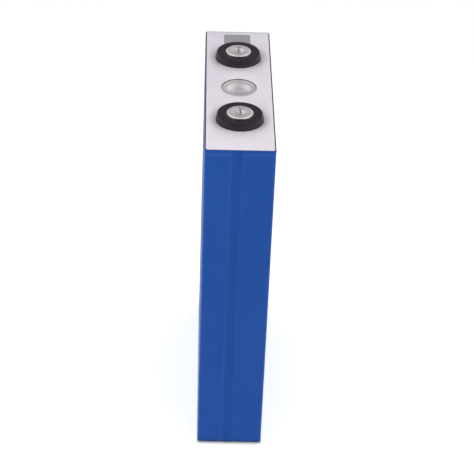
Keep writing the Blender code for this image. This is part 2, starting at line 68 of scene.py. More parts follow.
WRAP_LOW, WRAP_HIGH = node_box("outer_wrap")
SHEET_LOW, SHEET_HIGH = node_box("top_insulation_sheet")
LABEL_LOW, LABEL_HIGH = node_box("id_label")
VENT_LOW, VENT_HIGH = node_box("vent_disc")
LID_TOP = node_box("lid")[1][2]
COLLAR_LOW, COLLAR_HIGH = node_box("negative_terminal_ring")
TERMINAL_LOW, TERMINAL_HIGH = node_box("negative_terminal")

STATIONS = {}  # y of each terminal's axis
for side in ("negative", "positive"):
    low, high = node_box(side + "_terminal")
    STATIONS[side] = (low[1] + high[1]) / 2

LAP_PROUD = 0.15  # how far the doubled film stands out on the narrow faces
LAP_LEFT, LAP_RIGHT = -4.5, 1.3  # x of the doubled film's edges
HALF_X = (WRAP_HIGH[0] - WRAP_LOW[0]) / 2
HALF_Y = (WRAP_HIGH[1] - WRAP_LOW[1]) / 2 - LAP_PROUD
CORNER_RADIUS = 1.5
FILM_TOP = WRAP_HIGH[2]
SHEET_TOP = SHEET_HIGH[2]
COLLAR_TOP = COLLAR_HIGH[2]
COLLAR_RADIUS = (COLLAR_HIGH[0] - COLLAR_LOW[0]) / 2
TERMINAL_TOP = TERMINAL_HIGH[2]
TERMINAL_RADIUS = (TERMINAL_HIGH[0] - TERMINAL_LOW[0]) / 2
VENT_RADIUS = (VENT_HIGH[0] - VENT_LOW[0]) / 2
VENT_DEPTH = 1.3


# ---------------------------------------------------------------- mesh helpers
def make(name, verts, faces, sharp_angle):
    """A smooth-shaded mesh object with faces turned outward; edges past sharp_angle stay sharp."""
    mesh = bpy.data.meshes.new(name)
    mesh.from_pydata([tuple(float(c) * MM for c in v) for v in verts], [], faces)
    mesh.validate()
    mesh.update()
    made = bpy.data.objects.new(name, mesh)
    bpy.context.scene.collection.objects.link(made)
    mesh.shade_smooth()
    mesh.set_sharp_from_angle(angle=math.radians(sharp_angle))
    bm = bmesh.new()
    bm.from_mesh(mesh)
    bmesh.ops.recalc_face_normals(bm, faces=bm.faces)
    bm.to_mesh(mesh)
    bm.free()
    return made


def settle(obj, node, look):
    """Puts the object under the root body, hides the frame part it stands in for, and gives it its one
    material.
    """
    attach(obj, "root")
    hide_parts(node)
    obj.data.materials.clear()
    obj.data.materials.append(LOOKS[look])


def bridge(rows):
    """Four-cornered faces between successive closed rows of equal length."""
    faces = []
    for low, high in zip(rows, rows[1:]):
        for k in range(len(low)):
            j = (k + 1) % len(low)
            faces.append((low[k], low[j], high[j], high[k]))
    return faces


def rounded_profile(points):
    """Corners (r, z, fillet radius, steps) of a closed profile, each fillet drawn as an arc."""
    out = []
    count = len(points)
    for i, (r, z, fillet, steps) in enumerate(points):
        if fillet <= 0:
            out.append((r, z))
            continue
        here = np.array((r, z), float)
        before = np.array(points[i - 1][:2], float) - here
        after = np.array(points[(i + 1) % count][:2], float) - here
        length_before, length_after = np.linalg.norm(before), np.linalg.norm(after)
        before, after = before / length_before, after / length_after
        half = math.acos(max(-1, min(1, float(before @ after)))) / 2
        cut = min(fillet / math.tan(half), 0.49 * length_before, 0.49 * length_after)
        radius = cut * math.tan(half)
        inward_way = (before + after) / np.linalg.norm(before + after)
        centre = here + inward_way * (radius / math.sin(half))
        start = math.atan2(*(here + before * cut - centre)[::-1])
        end = math.atan2(*(here + after * cut - centre)[::-1])
        turn = (end - start + math.pi) % (2 * math.pi) - math.pi
        for k in range(steps + 1):
            a = start + turn * k / steps
            out.append((centre[0] + radius * math.cos(a), centre[1] + radius * math.sin(a)))
    return out


def lathe(name, profile, steps, y, sharp_angle, closed=False):
    """Spins a profile about the vertical axis at y.

    Each profile point is (radius, z), or a function giving that pair for an angle. A closed
    profile makes a ring; an open one starts and ends on the axis.
    """
    verts, faces, rows = [], [], []
    for point in profile:
        varies = callable(point)
        if not varies and point[0] < 1e-6:
            rows.append([len(verts)])
            verts.append((0.0, y, point[1]))
            continue
        rows.append(list(range(len(verts), len(verts) + steps)))
        for k in range(steps):
            angle = 2 * math.pi * k / steps
            r, z = point(angle) if varies else point
            verts.append((r * math.cos(angle), y + r * math.sin(angle), z))
    pairs = list(zip(rows, rows[1:]))
    if closed:
        pairs.append((rows[-1], rows[0]))
    for low, high in pairs:
        for k in range(steps):
            j = (k + 1) % steps
            corners = []
            for v in (low[k % len(low)], low[j % len(low)], high[j % len(high)], high[k % len(high)]):
                if v not in corners:
                    corners.append(v)
            if len(corners) > 2:
                faces.append(tuple(corners))
    return make(name, verts, faces, sharp_angle)


def plan_loop(half_x, half_y, radius, arc_steps):
    """Plan of a rectangle with rounded corners, anticlockwise."""
    out = []
    for corner, (sign_x, sign_y) in enumerate(((1, 1), (-1, 1), (-1, -1), (1, -1))):
        centre_x, centre_y = sign_x * (half_x - radius), sign_y * (half_y - radius)
        for i in range(arc_steps + 1):
            a = math.pi / 2 * (corner + i / arc_steps)
            out.append((centre_x + radius * math.cos(a), centre_y + radius * math.sin(a)))
    return out


def smoothstep(start, end, value):
    t = min(1.0, max(0.0, (value - start) / (end - start)))
    return t * t * (3 - 2 * t)


def fractal(x, y, z, octaves=3):
    return noise.fractal(Vector((x, y, z)), 1.0, 2.0, octaves, noise_basis="PERLIN_ORIGINAL")


# ---------------------------------------------------------------- node helpers
NOISE_SPREAD = (0.3, 0.7)  # nearly all of a noise texture's values lie in this range

SOCKETS = {
    "colour": "Base Color", "roughness": "Roughness", "metallic": "Metallic", "normal": "Normal",
    "specular": "Specular IOR Level", "tangent": "Tangent",
    "anisotropic": "Anisotropic", "anisotropic_rotation": "Anisotropic Rotation",
    "subsurface": "Subsurface Weight", "subsurface_scale": "Subsurface Scale",
    "emission": "Emission Color", "emission_strength": "Emission Strength",
}


class Nodes:
    """A small builder for node trees. Values may be sockets or plain numbers."""

    def __init__(self, tree):
        self.tree = tree
        self.coords = self.node("ShaderNodeTexCoord")

    def node(self, kind, **settings):
        made = self.tree.nodes.new(kind)
        for key, value in settings.items():
            setattr(made, key, value)
        return made

    def feed(self, socket, value):
        if isinstance(value, bpy.types.NodeSocket):
            self.tree.links.new(value, socket)
        else:
            socket.default_value = value

    def axes(self, space="Object"):
        made = self.node("ShaderNodeSeparateXYZ")
        self.feed(made.inputs[0], self.coords.outputs[space])
        return made.outputs

    def span(self, value, over=NOISE_SPREAD, to=(0.0, 1.0), over_mm=None, smooth=False):
        """Carries value from the range over (or over_mm) to the range to, held at its ends."""
        if over_mm is not None:
            over = [edge * MM for edge in over_mm]
        kind = "SMOOTHSTEP" if smooth else "LINEAR"
        made = self.node("ShaderNodeMapRange", interpolation_type=kind)
        for socket, v in zip(made.inputs, (value, *over, *to)):
            self.feed(socket, v)
        return made.outputs["Result"]


class Shade(Nodes):
    """A material on the default shader, textured in the object's own coordinates."""

    def __init__(self, name):
        self.material = bpy.data.materials.new(name)
        self.material.use_nodes = True
        super().__init__(self.material.node_tree)
        self.shader = self.tree.nodes["Principled BSDF"]

    def put(self, **inputs):
        for key, value in inputs.items():
            self.feed(self.shader.inputs[SOCKETS[key]], value)

    def texture(self, kind, stretch, offset, **values):
        made = self.node(kind)
        for key, value in values.items():
            made.inputs[key.capitalize()].default_value = value
        mapping = self.node("ShaderNodeMapping")
        mapping.inputs["Scale"].default_value = stretch
        mapping.inputs["Location"].default_value = offset
        self.feed(mapping.inputs["Vector"], self.coords.outputs["Object"])
        self.feed(made.inputs["Vector"], mapping.outputs["Vector"])
        return made.outputs

    def noise(self, scale=1.0, detail=3.0, rough=0.55, stretch=(1, 1, 1), offset=(0, 0, 0),
              distortion=0.0):
        return self.texture("ShaderNodeTexNoise", stretch, offset, scale=scale, detail=detail,
                            roughness=rough, distortion=distortion)["Fac"]

    def voronoi(self, scale, offset=(0, 0, 0)):
        return self.texture("ShaderNodeTexVoronoi", (1, 1, 1), offset, scale=scale)["Distance"]

    def math(self, operation, a, b=0.5, c=0.0):
        made = self.node("ShaderNodeMath", operation=operation)
        for socket, value in zip(made.inputs, (a, b, c)):
            self.feed(socket, value)
        return made.outputs[0]

    def times(self, value, share):
        return self.math("MULTIPLY", value, share)

    def plus(self, value, extra):
        return self.math("ADD", value, extra)

    def wave(self, phase):
        """A sine wave between 0 and 1."""
        return self.math("MULTIPLY_ADD", self.math("SINE", phase), 0.5, 0.5)

    def mix(self, amount, base, colour):
        """The base, covered by the colour to the given amount."""
        made = self.node("ShaderNodeMix", data_type="RGBA", blend_type="MIX")
        self.feed(made.inputs["Factor"], amount)
        for socket, v in ((made.inputs[6], base), (made.inputs[7], colour)):
            if isinstance(v, tuple):
                v = (*v, 1.0)
            self.feed(socket, v)
        return made.outputs[2]

    def radius(self, y_mm=0.0):
        """Distance in metres from the vertical axis at x = 0 and the given y."""
        x, y, _ = self.axes()
        dx = self.math("SUBTRACT", x, 0.0)
        dy = self.math("SUBTRACT", y, y_mm * MM)
        return self.math("SQRT", self.plus(self.times(dx, dx), self.times(dy, dy)))

    def bump(self, height, depth_mm, strength=1.0, onto=None):
        made = self.node("ShaderNodeBump")
        made.inputs["Strength"].default_value = strength
        made.inputs["Distance"].default_value = depth_mm * MM
        self.feed(made.inputs["Height"], height)
        if onto is not None:
            self.feed(made.inputs["Normal"], onto)
        return made.outputs["Normal"]

    def edges(self, radius_mm):
        """1 near edges, 0 on flats."""
        bevel = self.node("ShaderNodeBevel", samples=4)
        bevel.inputs["Radius"].default_value = radius_mm * MM
        geometry = self.node("ShaderNodeNewGeometry")
        dot = self.node("ShaderNodeVectorMath", operation="DOT_PRODUCT")
        self.feed(dot.inputs[0], bevel.outputs["Normal"])
        self.feed(dot.inputs[1], geometry.outputs["Normal"])
        return self.span(dot.outputs["Value"], over=(1.0, 0.86))


def srgb(*levels):
    """Linear colour from 0-255 display levels."""
    def linear(c):
        c /= 255.0
        return c / 12.92 if c <= 0.04045 else ((c + 0.055) / 1.055) ** 2.4

    return tuple(linear(c) for c in levels)


def dim(colour, share):
    return tuple(share * c for c in colour)


# ---------------------------------------------------------------- materials
def film_material():
    """Blue insulating film, darker where two layers overlap on the narrow faces."""
    m = Shade("blue_film_look")
    x, y, z = m.axes()
    # 1 on the narrow faces, 0 on the broad ones
    narrow = m.span(m.math("ABSOLUTE", y), over_mm=(HALF_Y - 1.0, HALF_Y - 0.3), smooth=True)
    wander = m.span(m.noise(scale=14.0, detail=2.0, rough=0.5, offset=(0.3, 0, 0)),
                    to=(-0.35 * MM, 0.35 * MM))
    wavy_x = m.plus(x, wander)
    left = m.span(wavy_x, over_mm=(LAP_LEFT - 0.7, LAP_LEFT + 2.2), smooth=True)
    right = m.span(wavy_x, over_mm=(LAP_RIGHT - 1.8, LAP_RIGHT + 2.2), to=(1.0, 0.0), smooth=True)
    lap = m.times(m.times(left, right), narrow)
    lap_fade = m.span(m.noise(scale=9.0, detail=2.0, rough=0.5, offset=(0, 4, 1)), to=(0.7, 1.0))
    lap = m.times(lap, lap_fade)

    cloud = m.noise(scale=22.0, offset=(2, 1, 0))
    streaks = m.noise(rough=0.6, stretch=(420, 420, 9), offset=(0.7, 3, 5))
    grain = m.noise(scale=2600.0, detail=2.0, rough=0.6)
    base = m.mix(m.span(cloud), srgb(13, 74, 157), srgb(20, 80, 165))
    streaked = m.times(m.span(streaks, over=(0.42, 0.72), to=(0.0, 0.42)), share=1.0)
    base = m.mix(streaked, base, srgb(14, 71, 153))
    base = m.mix(m.span(grain, over=(0.35, 0.65), to=(0.0, 0.10)), base, srgb(38, 92, 178))
    base = m.mix(m.times(lap, share=0.55), base, srgb(12, 64, 146))
    # a little darker lower down, and dull along the fold at the foot
    lower = m.span(z, over_mm=(150, 20), to=(0.0, 0.22), smooth=True)
    base = m.mix(lower, base, srgb(14, 68, 150))
    foot = m.span(z, over_mm=(3.2, 0.8), to=(0.0, 0.75), smooth=True)
    base = m.mix(foot, base, srgb(44, 66, 112))
    # painted shade: the folded lip is painted nearly black for the shadowed gap beside the sheet,
    # except along the front
    painted_lip_shade = m.span(z, over_mm=(FILM_TOP - 0.40, FILM_TOP - 0.10))
    off_front = m.span(y, over_mm=(-HALF_Y + 0.2, -HALF_Y + 1.2))
    base = m.mix(m.times(m.times(painted_lip_shade, share=0.92), off_front), base, srgb(22, 22, 34))
    # painted highlight: the film is painted paler along its upright corners
    edge = m.times(m.edges(radius_mm=0.9), m.span(z, over_mm=(193.2, 194.6), to=(1.0, 0.0)))
    edge = m.times(edge, m.span(z, over_mm=(2.0, 3.5)))
    base = m.mix(m.times(edge, share=0.30), base, srgb(70, 108, 178))
    # scuffs: thin, short and pale, in patches
    scuff_lines = m.noise(detail=4.0, rough=0.65, stretch=(900, 260, 40), offset=(5, 2, 8),
                          distortion=0.4)
    scuff_patches = m.span(m.noise(scale=30.0, rough=0.6, offset=(9, 9, 3)), over=(0.56, 0.7))
    scuffs = m.times(m.span(scuff_lines, over=(0.66, 0.74)), scuff_patches)
    base = m.mix(m.times(scuffs, share=0.22), base, srgb(110, 145, 205))

    rough = m.span(m.noise(scale=60.0, detail=4.0, rough=0.6, offset=(1, 7, 2)), to=(0.36, 0.46))
    rough = m.plus(rough, m.times(scuffs, share=0.16))
    rough = m.plus(rough, m.times(lap, share=0.03))

    # soft waves, then upright drawn lines, then a fine orange peel
    soft = m.noise(scale=70.0, detail=2.0, rough=0.5, stretch=(1, 1, 0.45), offset=(4, 4, 4))
    peel = m.noise(scale=900.0, detail=2.0, rough=0.5)
    normal = m.bump(soft, depth_mm=0.10)
    drawn = m.noise(detail=2.0, rough=0.5, stretch=(330, 330, 7), offset=(0.2, 0.1, 0))
    normal = m.bump(drawn, depth_mm=0.035, onto=normal)
    normal = m.bump(peel, depth_mm=0.010, onto=normal)
    m.put(colour=base, roughness=rough, normal=normal, specular=0.24)
    return m.material


def sheet_material():
    """White insulating sheet, satin, with a fine fibre in it."""
    m = Shade("white_sheet_look")
    x, y, z = m.axes()
    cloud = m.noise(scale=45.0, rough=0.6)
    fibre_along_x = m.noise(rough=0.65, stretch=(700, 2600, 700), offset=(3, 1, 2))
    fibre_along_y = m.noise(rough=0.65, stretch=(2600, 700, 700), offset=(1, 5, 2))
    base = m.mix(m.span(cloud), srgb(226, 220, 229), srgb(233, 228, 236))
    fibres = m.math("MAXIMUM", fibre_along_x, fibre_along_y)
    base = m.mix(m.span(fibres, over=(0.62, 0.75), to=(0.0, 0.22)), base, srgb(206, 202, 214))
    specks = m.span(m.voronoi(scale=900.0, offset=(0.2, 0.4, 0)), over=(0.10, 0.05))
    rare = m.span(m.noise(scale=260.0, detail=1.0, rough=0.5, offset=(7, 7, 7)), over=(0.70, 0.74))
    base = m.mix(m.times(m.times(specks, rare), share=0.6), base, srgb(120, 118, 128))
    # faint handling smudges
    smudge = m.span(m.noise(scale=90.0, detail=4.0, rough=0.6, offset=(2, 8, 1)), over=(0.5, 0.75))
    base = m.mix(m.times(smudge, share=0.10), base, srgb(188, 182, 194))
    # painted shade: greyer towards the back, and a painted shadow beside each collar
    base = m.mix(m.span(y, over_mm=(-45, 60), to=(0.0, 0.26)), base, srgb(176, 173, 190))
    for station in STATIONS.values():
        near = m.span(m.radius(station), over_mm=(COLLAR_RADIUS, COLLAR_RADIUS + 5.5),
                      to=(1.0, 0.0), smooth=True)
        beside = m.span(m.math("ABSOLUTE", x), over_mm=(6, 12), to=(0.04, 0.26))
        base = m.mix(m.times(near, beside), base, srgb(136, 131, 143))
    # painted shade: the sheet's rolled edge and sides are a little darker and bluer
    rim = m.span(z, over_mm=(SHEET_TOP - 0.16, SHEET_TOP - 0.04), to=(0.15, 0.0))
    base = m.mix(rim, base, srgb(170, 170, 196))
    rough = m.span(m.noise(scale=300.0, rough=0.6), to=(0.42, 0.54))
    waves = m.noise(scale=55.0, detail=2.0, rough=0.5, offset=(2, 2, 2))
    normal = m.bump(waves, depth_mm=0.05)
    normal = m.bump(m.plus(fibre_along_x, fibre_along_y), depth_mm=0.008, onto=normal)
    m.put(colour=base, roughness=rough, normal=normal, specular=0.38, subsurface=0.05,
          subsurface_scale=0.0006)
    return m.material


def label_material():
    """Blank grey printed patch with an even, fine mottle and faint lines."""
    m = Shade("grey_label_look")
    fine = m.noise(scale=1500.0, detail=2.0, rough=0.6)
    coarse = m.noise(scale=330.0, rough=0.6, offset=(1, 4, 0))
    base = m.mix(m.span(coarse), srgb(147, 144, 148), srgb(166, 163, 167))
    base = m.mix(m.span(fine, over=(0.40, 0.62), to=(0.0, 0.5)), base, srgb(126, 123, 128))
    lines = m.noise(detail=1.0, rough=0.5, stretch=(30, 1800, 30), offset=(2, 2, 2))
    base = m.mix(m.span(lines, over=(0.5, 0.7), to=(0.0, 0.22)), base, srgb(178, 175, 179))
    normal = m.bump(m.noise(scale=1200.0, detail=2.0, rough=0.5), depth_mm=0.006)
    m.put(colour=base, roughness=m.span(coarse, to=(0.5, 0.62)), normal=normal, specular=0.3)
    return m.material


def collar_material():
    """Black moulded plastic with a spark-eroded grain, slightly paler on its edges."""
    m = Shade("black_collar_look")
    grain = m.voronoi(scale=2900.0)
    cloud = m.noise(scale=160.0, rough=0.6)
    base = m.mix(m.span(cloud), srgb(38, 31, 39), srgb(47, 40, 48))
    # painted shade: the top face is painted darker than the sides
    top = m.span(m.axes()[2], over_mm=(COLLAR_TOP - 0.42, COLLAR_TOP - 0.12))
    base = m.mix(top, base, m.mix(m.span(cloud), srgb(21, 9, 22), srgb(27, 15, 28)))
    edge = m.edges(radius_mm=0.5)
    patches = m.noise(scale=500.0, rough=0.6, offset=(3, 3, 1))
    worn = m.times(edge, m.span(patches, over=(0.35, 0.65), to=(0.25, 0.8)))
    base = m.mix(m.times(worn, share=0.32), base, srgb(86, 80, 90))
    dust = m.span(m.noise(scale=1300.0, detail=2.0, rough=0.7, offset=(5, 5, 5)),
                  over=(0.62, 0.74), to=(0.0, 0.25))
    base = m.mix(dust, base, srgb(96, 92, 100))
    rough = m.span(cloud, to=(0.40, 0.54))
    normal = m.bump(grain, depth_mm=0.016, strength=0.8)
    normal = m.bump(m.noise(scale=240.0, detail=2.0, rough=0.5), depth_mm=0.02, onto=normal)
    # 0.28 on the sides, 0.09 less on the top
    specular = m.math("MULTIPLY_ADD", top, -0.09, 0.28)
    m.put(colour=base, roughness=rough, normal=normal, specular=specular)
    return m.material


def turned_metal(name, station, tint, dark):
    """Face-turned metal: fine rings about the axis, a little cloudy, with nicks."""
    groove = 0.32  # ring spacing
    fine_ratio = 2.63  # finer rings to each groove
    m = Shade(name)
    radius = m.radius(station)
    warp = m.times(m.noise(scale=300.0, detail=2.0, rough=0.5), share=0.00006)
    phase = m.times(m.plus(radius, warp), 2 * math.pi / (groove * MM))
    rings = m.wave(phase)
    fine = m.wave(m.times(phase, fine_ratio))
    cloud = m.noise(scale=420.0, detail=4.0, rough=0.62, offset=(3, station, 2))
    base = m.mix(m.span(cloud), tint, dim(tint, share=0.80))
    base = m.mix(m.span(rings, over=(0.0, 1.0), to=(0.0, 0.08)), base, dark)
    scratches = m.noise(rough=0.6, stretch=(2400, 500, 500), offset=(2, 1, 3), distortion=0.8)
    nicks = m.span(scratches, over=(0.66, 0.72))
    patches = m.noise(scale=300.0, detail=2.0, rough=0.6, offset=(8, 3, 1))
    nicks = m.times(nicks, m.span(patches, over=(0.5, 0.62)))
    base = m.mix(m.times(nicks, share=0.5), base, dark)
    # smoother along the edges, rougher in the nicks
    rough = m.span(cloud, to=(0.22, 0.36))
    rough = m.plus(rough, m.times(nicks, share=0.2))
    rough = m.math("SUBTRACT", rough, m.times(m.edges(radius_mm=0.35), share=0.10))
    # painted light: the tapped bore is given a paler colour, brightening the inside of the hole
    bore = m.span(radius, over_mm=(2.92, 3.02), to=(1.0, 0.0))
    base = m.mix(m.times(bore, share=0.60), base, (0.92, 0.87, 0.91))
    # painted shade: a darker ring round the hole's mouth, dimming its bright edge
    mouth = m.times(m.span(radius, over_mm=(2.94, 3.02)),
                    m.span(radius, over_mm=(3.3, 4.0), to=(1.0, 0.0)))
    base = m.mix(m.times(mouth, share=0.30), base, dark)
    face = m.math("SUBTRACT", 1.0, bore)
    # the rings plus 0.4 of the finer ones
    turning = m.math("MULTIPLY_ADD", fine, 0.4, rings)
    normal = m.bump(m.times(turning, face), depth_mm=0.005, strength=0.6)
    normal = m.bump(m.times(m.noise(scale=700.0, rough=0.6), face), depth_mm=0.010, strength=0.7,
                    onto=normal)
    # the turning marks run round the axis, so reflections smear outwards from it
    around = m.node("ShaderNodeTangent", direction_type="RADIAL", axis="Z")
    m.put(colour=base, roughness=rough, normal=normal, metallic=1.0, anisotropic=0.75,
          tangent=around.outputs["Tangent"], anisotropic_rotation=0.25)
    return m.material


def vent_material():
    """Pressed and welded aluminium: satin, warm, with slight spun marks."""
    tint, dark = (0.83, 0.775, 0.81), (0.30, 0.275, 0.29)
    ring_spacing = 0.5
    m = Shade("vent_look")
    radius = m.radius()
    cloud = m.noise(scale=260.0, detail=4.0, rough=0.6)
    rings = m.wave(m.times(radius, 2 * math.pi / (ring_spacing * MM)))
    base = m.mix(m.span(cloud), tint, dim(tint, share=0.84))
    # a darker band over the outer shoulder and the weld bead at the rim
    weld = m.times(m.span(radius, over_mm=(VENT_RADIUS - 1.5, VENT_RADIUS - 0.95), smooth=True),
                   share=0.52)
    base = m.mix(weld, base, dark)
    base = m.mix(m.span(rings, over=(0.0, 1.0), to=(0.0, 0.06)), base, dark)
    rough = m.plus(m.span(cloud, to=(0.24, 0.36)), m.times(weld, share=0.12))
    normal = m.bump(rings, depth_mm=0.004, strength=0.6)
    normal = m.bump(m.noise(scale=500.0, rough=0.6), depth_mm=0.012, strength=0.8, onto=normal)
    m.put(colour=base, roughness=rough, normal=normal, metallic=1.0)
    return m.material


def plain_metal(name, tint, dark, stretch):
    """Rolled or drawn metal: brushed as the noise is stretched, with faint stains."""
    m = Shade(name)
    brush = m.noise(detail=4.0, rough=0.65, stretch=stretch)
    cloud = m.noise(scale=90.0, detail=4.0, rough=0.6, offset=(3, 3, 3))
    base = m.mix(m.span(cloud), tint, dim(tint, share=0.82))
    base = m.mix(m.span(brush, over=(0.4, 0.7), to=(0.0, 0.3)), base, dark)
    m.put(colour=base, roughness=m.span(brush, to=(0.28, 0.42)), metallic=1.0,
          normal=m.bump(brush, depth_mm=0.008, strength=0.8), anisotropic=0.3)
    return m.material


def moulded(name, light, dark, rough, grain, specular, subsurface=0.0):
    """Moulded or coated surface with an even grain and slight cloudiness."""
    m = Shade(name)
    cloud = m.noise(scale=110.0, rough=0.6)
    fine = m.noise(scale=grain, rough=0.6, offset=(2, 4, 6))
    base = m.mix(m.span(cloud), light, dark)
    base = m.mix(m.span(fine, over=(0.45, 0.7), to=(0.0, 0.25)), base, dim(dark, share=0.7))
    m.put(colour=base, roughness=m.span(cloud, to=rough),
          normal=m.bump(fine, depth_mm=0.012, strength=0.8),
          specular=specular, subsurface=subsurface, subsurface_scale=0.001)
    return m.material


def layered(name, light, dark, rough, spacing):
    """Wound film or foil seen from its edge or side: fine stacked lines."""
    m = Shade(name)
    across = 1 / (spacing * MM)
    lines = m.noise(detail=2.0, rough=0.5, stretch=(across, 60, across))
    cloud = m.noise(scale=60.0, rough=0.6)
    base = m.mix(m.span(cloud), light, dark)
    base = m.mix(m.span(lines, over=(0.4, 0.65), to=(0.0, 0.4)), base, dim(dark, share=0.75))
    m.put(colour=base, roughness=m.span(cloud, to=rough),
          normal=m.bump(lines, depth_mm=0.01, strength=0.8), specular=0.35)
    return m.material


LOOKS = {
    "blue_film": film_material(),
    "white_sheet": sheet_material(),
    "grey_label": label_material(),
    "black_plastic": collar_material(),
    "positive_face": turned_metal(
        "positive_terminal_look", STATIONS["positive"],
        tint=(0.775, 0.725, 0.765), dark=(0.35, 0.325, 0.345)),
    "negative_face": turned_metal(
        "negative_terminal_look", STATIONS["negative"],
        tint=(0.765, 0.715, 0.75), dark=(0.33, 0.31, 0.325)),
    "vent_aluminium": vent_material(),
    "aluminium": plain_metal(
        "aluminium_look", tint=(0.78, 0.78, 0.79), dark=(0.5, 0.5, 0.51),
        stretch=(2200, 2200, 60)),
    "nickel_plate": plain_metal(
        "nickel_look", tint=(0.72, 0.71, 0.69), dark=(0.48, 0.46, 0.43),
        stretch=(900, 900, 900)),
    "copper": plain_metal(
        "copper_look", tint=(0.86, 0.47, 0.30), dark=(0.48, 0.22, 0.13),
        stretch=(1800, 60, 1800)),
    "seal_rubber": moulded(
        "rubber_look", light=(0.030, 0.030, 0.031), dark=(0.018, 0.018, 0.019),
        rough=(0.62, 0.8), grain=1800.0, specular=0.3),
    "natural_polypropylene": moulded(
        "polypropylene_look", light=(0.74, 0.75, 0.73), dark=(0.64, 0.66, 0.65),
        rough=(0.38, 0.5), grain=900.0, specular=0.45, subsurface=0.15),
    "core_bag_film": moulded(
        "bag_film_look", light=(0.50, 0.55, 0.58), dark=(0.42, 0.47, 0.51),
        rough=(0.28, 0.4), grain=700.0, specular=0.5, subsurface=0.1),
    "graphite_coating": layered(
        "graphite_look", light=(0.030, 0.031, 0.036), dark=(0.018, 0.018, 0.021),
        rough=(0.6, 0.78), spacing=0.16),
    "iron_phosphate_coating": layered(
        "phosphate_look", light=(0.055, 0.056, 0.062), dark=(0.032, 0.033, 0.038),
        rough=(0.7, 0.88), spacing=0.18),
    "separator_film": layered(
        "separator_look", light=(0.86, 0.86, 0.84), dark=(0.76, 0.77, 0.76),
        rough=(0.45, 0.6), spacing=0.12),
    "core_tape": moulded(
        "core_tape_look", light=(0.05, 0.33, 0.18), dark=(0.03, 0.24, 0.13),
        rough=(0.26, 0.38), grain=600.0, specular=0.55),
}


def finish_carried_parts():
    """The frame's own nodes take their finished materials."""
    for part in frame["record"]["subparts"]:
        obj = frame["nodes"][part["node"]]
        look = LOOKS[part["material_slot"]]
        if not obj.material_slots:
            obj.data.materials.append(look)
        for slot in obj.material_slots:
            slot.material = look


finish_carried_parts()

# ---------------------------------------------------------------- outer film: plan
CORNER_STEPS = 7
BROAD_STEPS, NARROW_STEPS = 98, 36

# x of the extra plan points that draw the doubled film's edges
LAP_STOPS = [LAP_LEFT + d for d in (-1.2, -0.7, -0.4, -0.15, 0.1, 0.35, 0.7)]
LAP_STOPS += [LAP_RIGHT + d for d in (-0.8, -0.45, -0.15, 0.15, 0.45, 0.8, 1.3)]


def perimeter():
    """Points (x, y, normal x, normal y) of the film's plan, anticlockwise from its right face."""
    flat_x, flat_y = HALF_X - CORNER_RADIUS, HALF_Y - CORNER_RADIUS
    # start and end of each straight, its steps, its normal and the centre of the corner after it
    sides = (
        ((HALF_X, -flat_y), (HALF_X, flat_y), BROAD_STEPS, (1, 0), (flat_x, flat_y)),
        ((flat_x, HALF_Y), (-flat_x, HALF_Y), NARROW_STEPS, (0, 1), (-flat_x, flat_y)),
        ((-HALF_X, flat_y), (-HALF_X, -flat_y), BROAD_STEPS, (-1, 0), (-flat_x, -flat_y)),
        ((-flat_x, -HALF_Y), (flat_x, -HALF_Y), NARROW_STEPS, (0, -1), (flat_x, -flat_y)),
    )
    out = []
    for quarter, (start, end, steps, normal, centre) in enumerate(sides):
        shares = {k / steps for k in range(steps)}
        if normal[0] == 0:
            stops = [(x - start[0]) / (end[0] - start[0]) for x in LAP_STOPS]
            shares |= {s for s in stops if 0 < s < 1}
        for t in sorted(shares):
            x, y = (start[i] + (end[i] - start[i]) * t for i in (0, 1))
            out.append((x, y, *normal))
        for k in range(CORNER_STEPS):
            a = quarter * math.pi / 2 + math.pi / 2 * k / CORNER_STEPS
            nx, ny = math.cos(a), math.sin(a)
            out.append((centre[0] + CORNER_RADIUS * nx, centre[1] + CORNER_RADIUS * ny, nx, ny))
    return out


def inward(point, inset):
    """Moves a plan point inward without crossing its corner's centre."""
    x, y, nx, ny = point
    deepest = CORNER_RADIUS - 0.15
    if inset <= deepest:
        return x - nx * inset, y - ny * inset
    extra = inset - deepest
    px, py = x - nx * deepest, y - ny * deepest
    if abs(nx) < 0.999 and abs(ny) < 0.999:  # on a corner
        return px - math.copysign(extra, x), py - math.copysign(extra, y)
    px, py = px - nx * extra, py - ny * extra
    limit_x, limit_y = HALF_X - CORNER_RADIUS - extra, HALF_Y - CORNER_RADIUS - extra
    if abs(nx) > 0.5:
        py = max(-limit_y, min(limit_y, py))
    else:
        px = max(-limit_x, min(limit_x, px))
    return px, py


# ---------------------------------------------------------------- outer film: relief of the walls
FRONT_CREASE_Z = 110.0

# face, place along it, height, half length, half width, height of the ridge, tilt in radians
CREASES = [
    ("front", 4.0, FRONT_CREASE_Z, 12.5, 0.55, 0.055, 0.015),
    ("front", -10.5, 97.0, 5.0, 0.50, 0.045, -0.05),
    ("front", 9.5, 46.0, 5.0, 0.60, 0.035, 0.25),
    ("front", -12.0, 69.0, 3.4, 0.50, 0.040, -0.30),
    ("back", -3.0, 131.0, 9.0, 0.55, 0.055, -0.03),
    ("back", 8.0, 60.0, 4.0, 0.50, 0.040, 0.30),
    ("right", 47.0, 180.0, 13.0, 1.25, 0.100, 0.42),
    ("right", 55.0, 171.0, 8.0, 1.05, 0.075, 0.62),
    ("right", -50.0, 15.0, 12.0, 1.25, 0.100, 0.50),
    ("right", -33.0, 6.5, 9.0, 1.05, 0.070, 0.12),
    ("right", 53.0, 17.0, 9.0, 1.15, 0.085, -0.62),
    ("right", -57.0, 150.0, 15.0, 1.25, 0.060, 1.52),
    ("right", 12.0, 101.0, 17.0, 1.45, 0.045, 0.08),
    ("left", -50.0, 181.0, 12.0, 1.25, 0.100, -0.45),
    ("left", 46.0, 13.0, 13.0, 1.25, 0.100, 0.35),
    ("left", -54.0, 19.0, 9.0, 1.15, 0.080, 0.70),
    ("left", 58.0, 128.0, 16.0, 1.25, 0.060, 1.60),
    ("left", -16.0, 92.0, 15.0, 1.45, 0.045, -0.10),
]


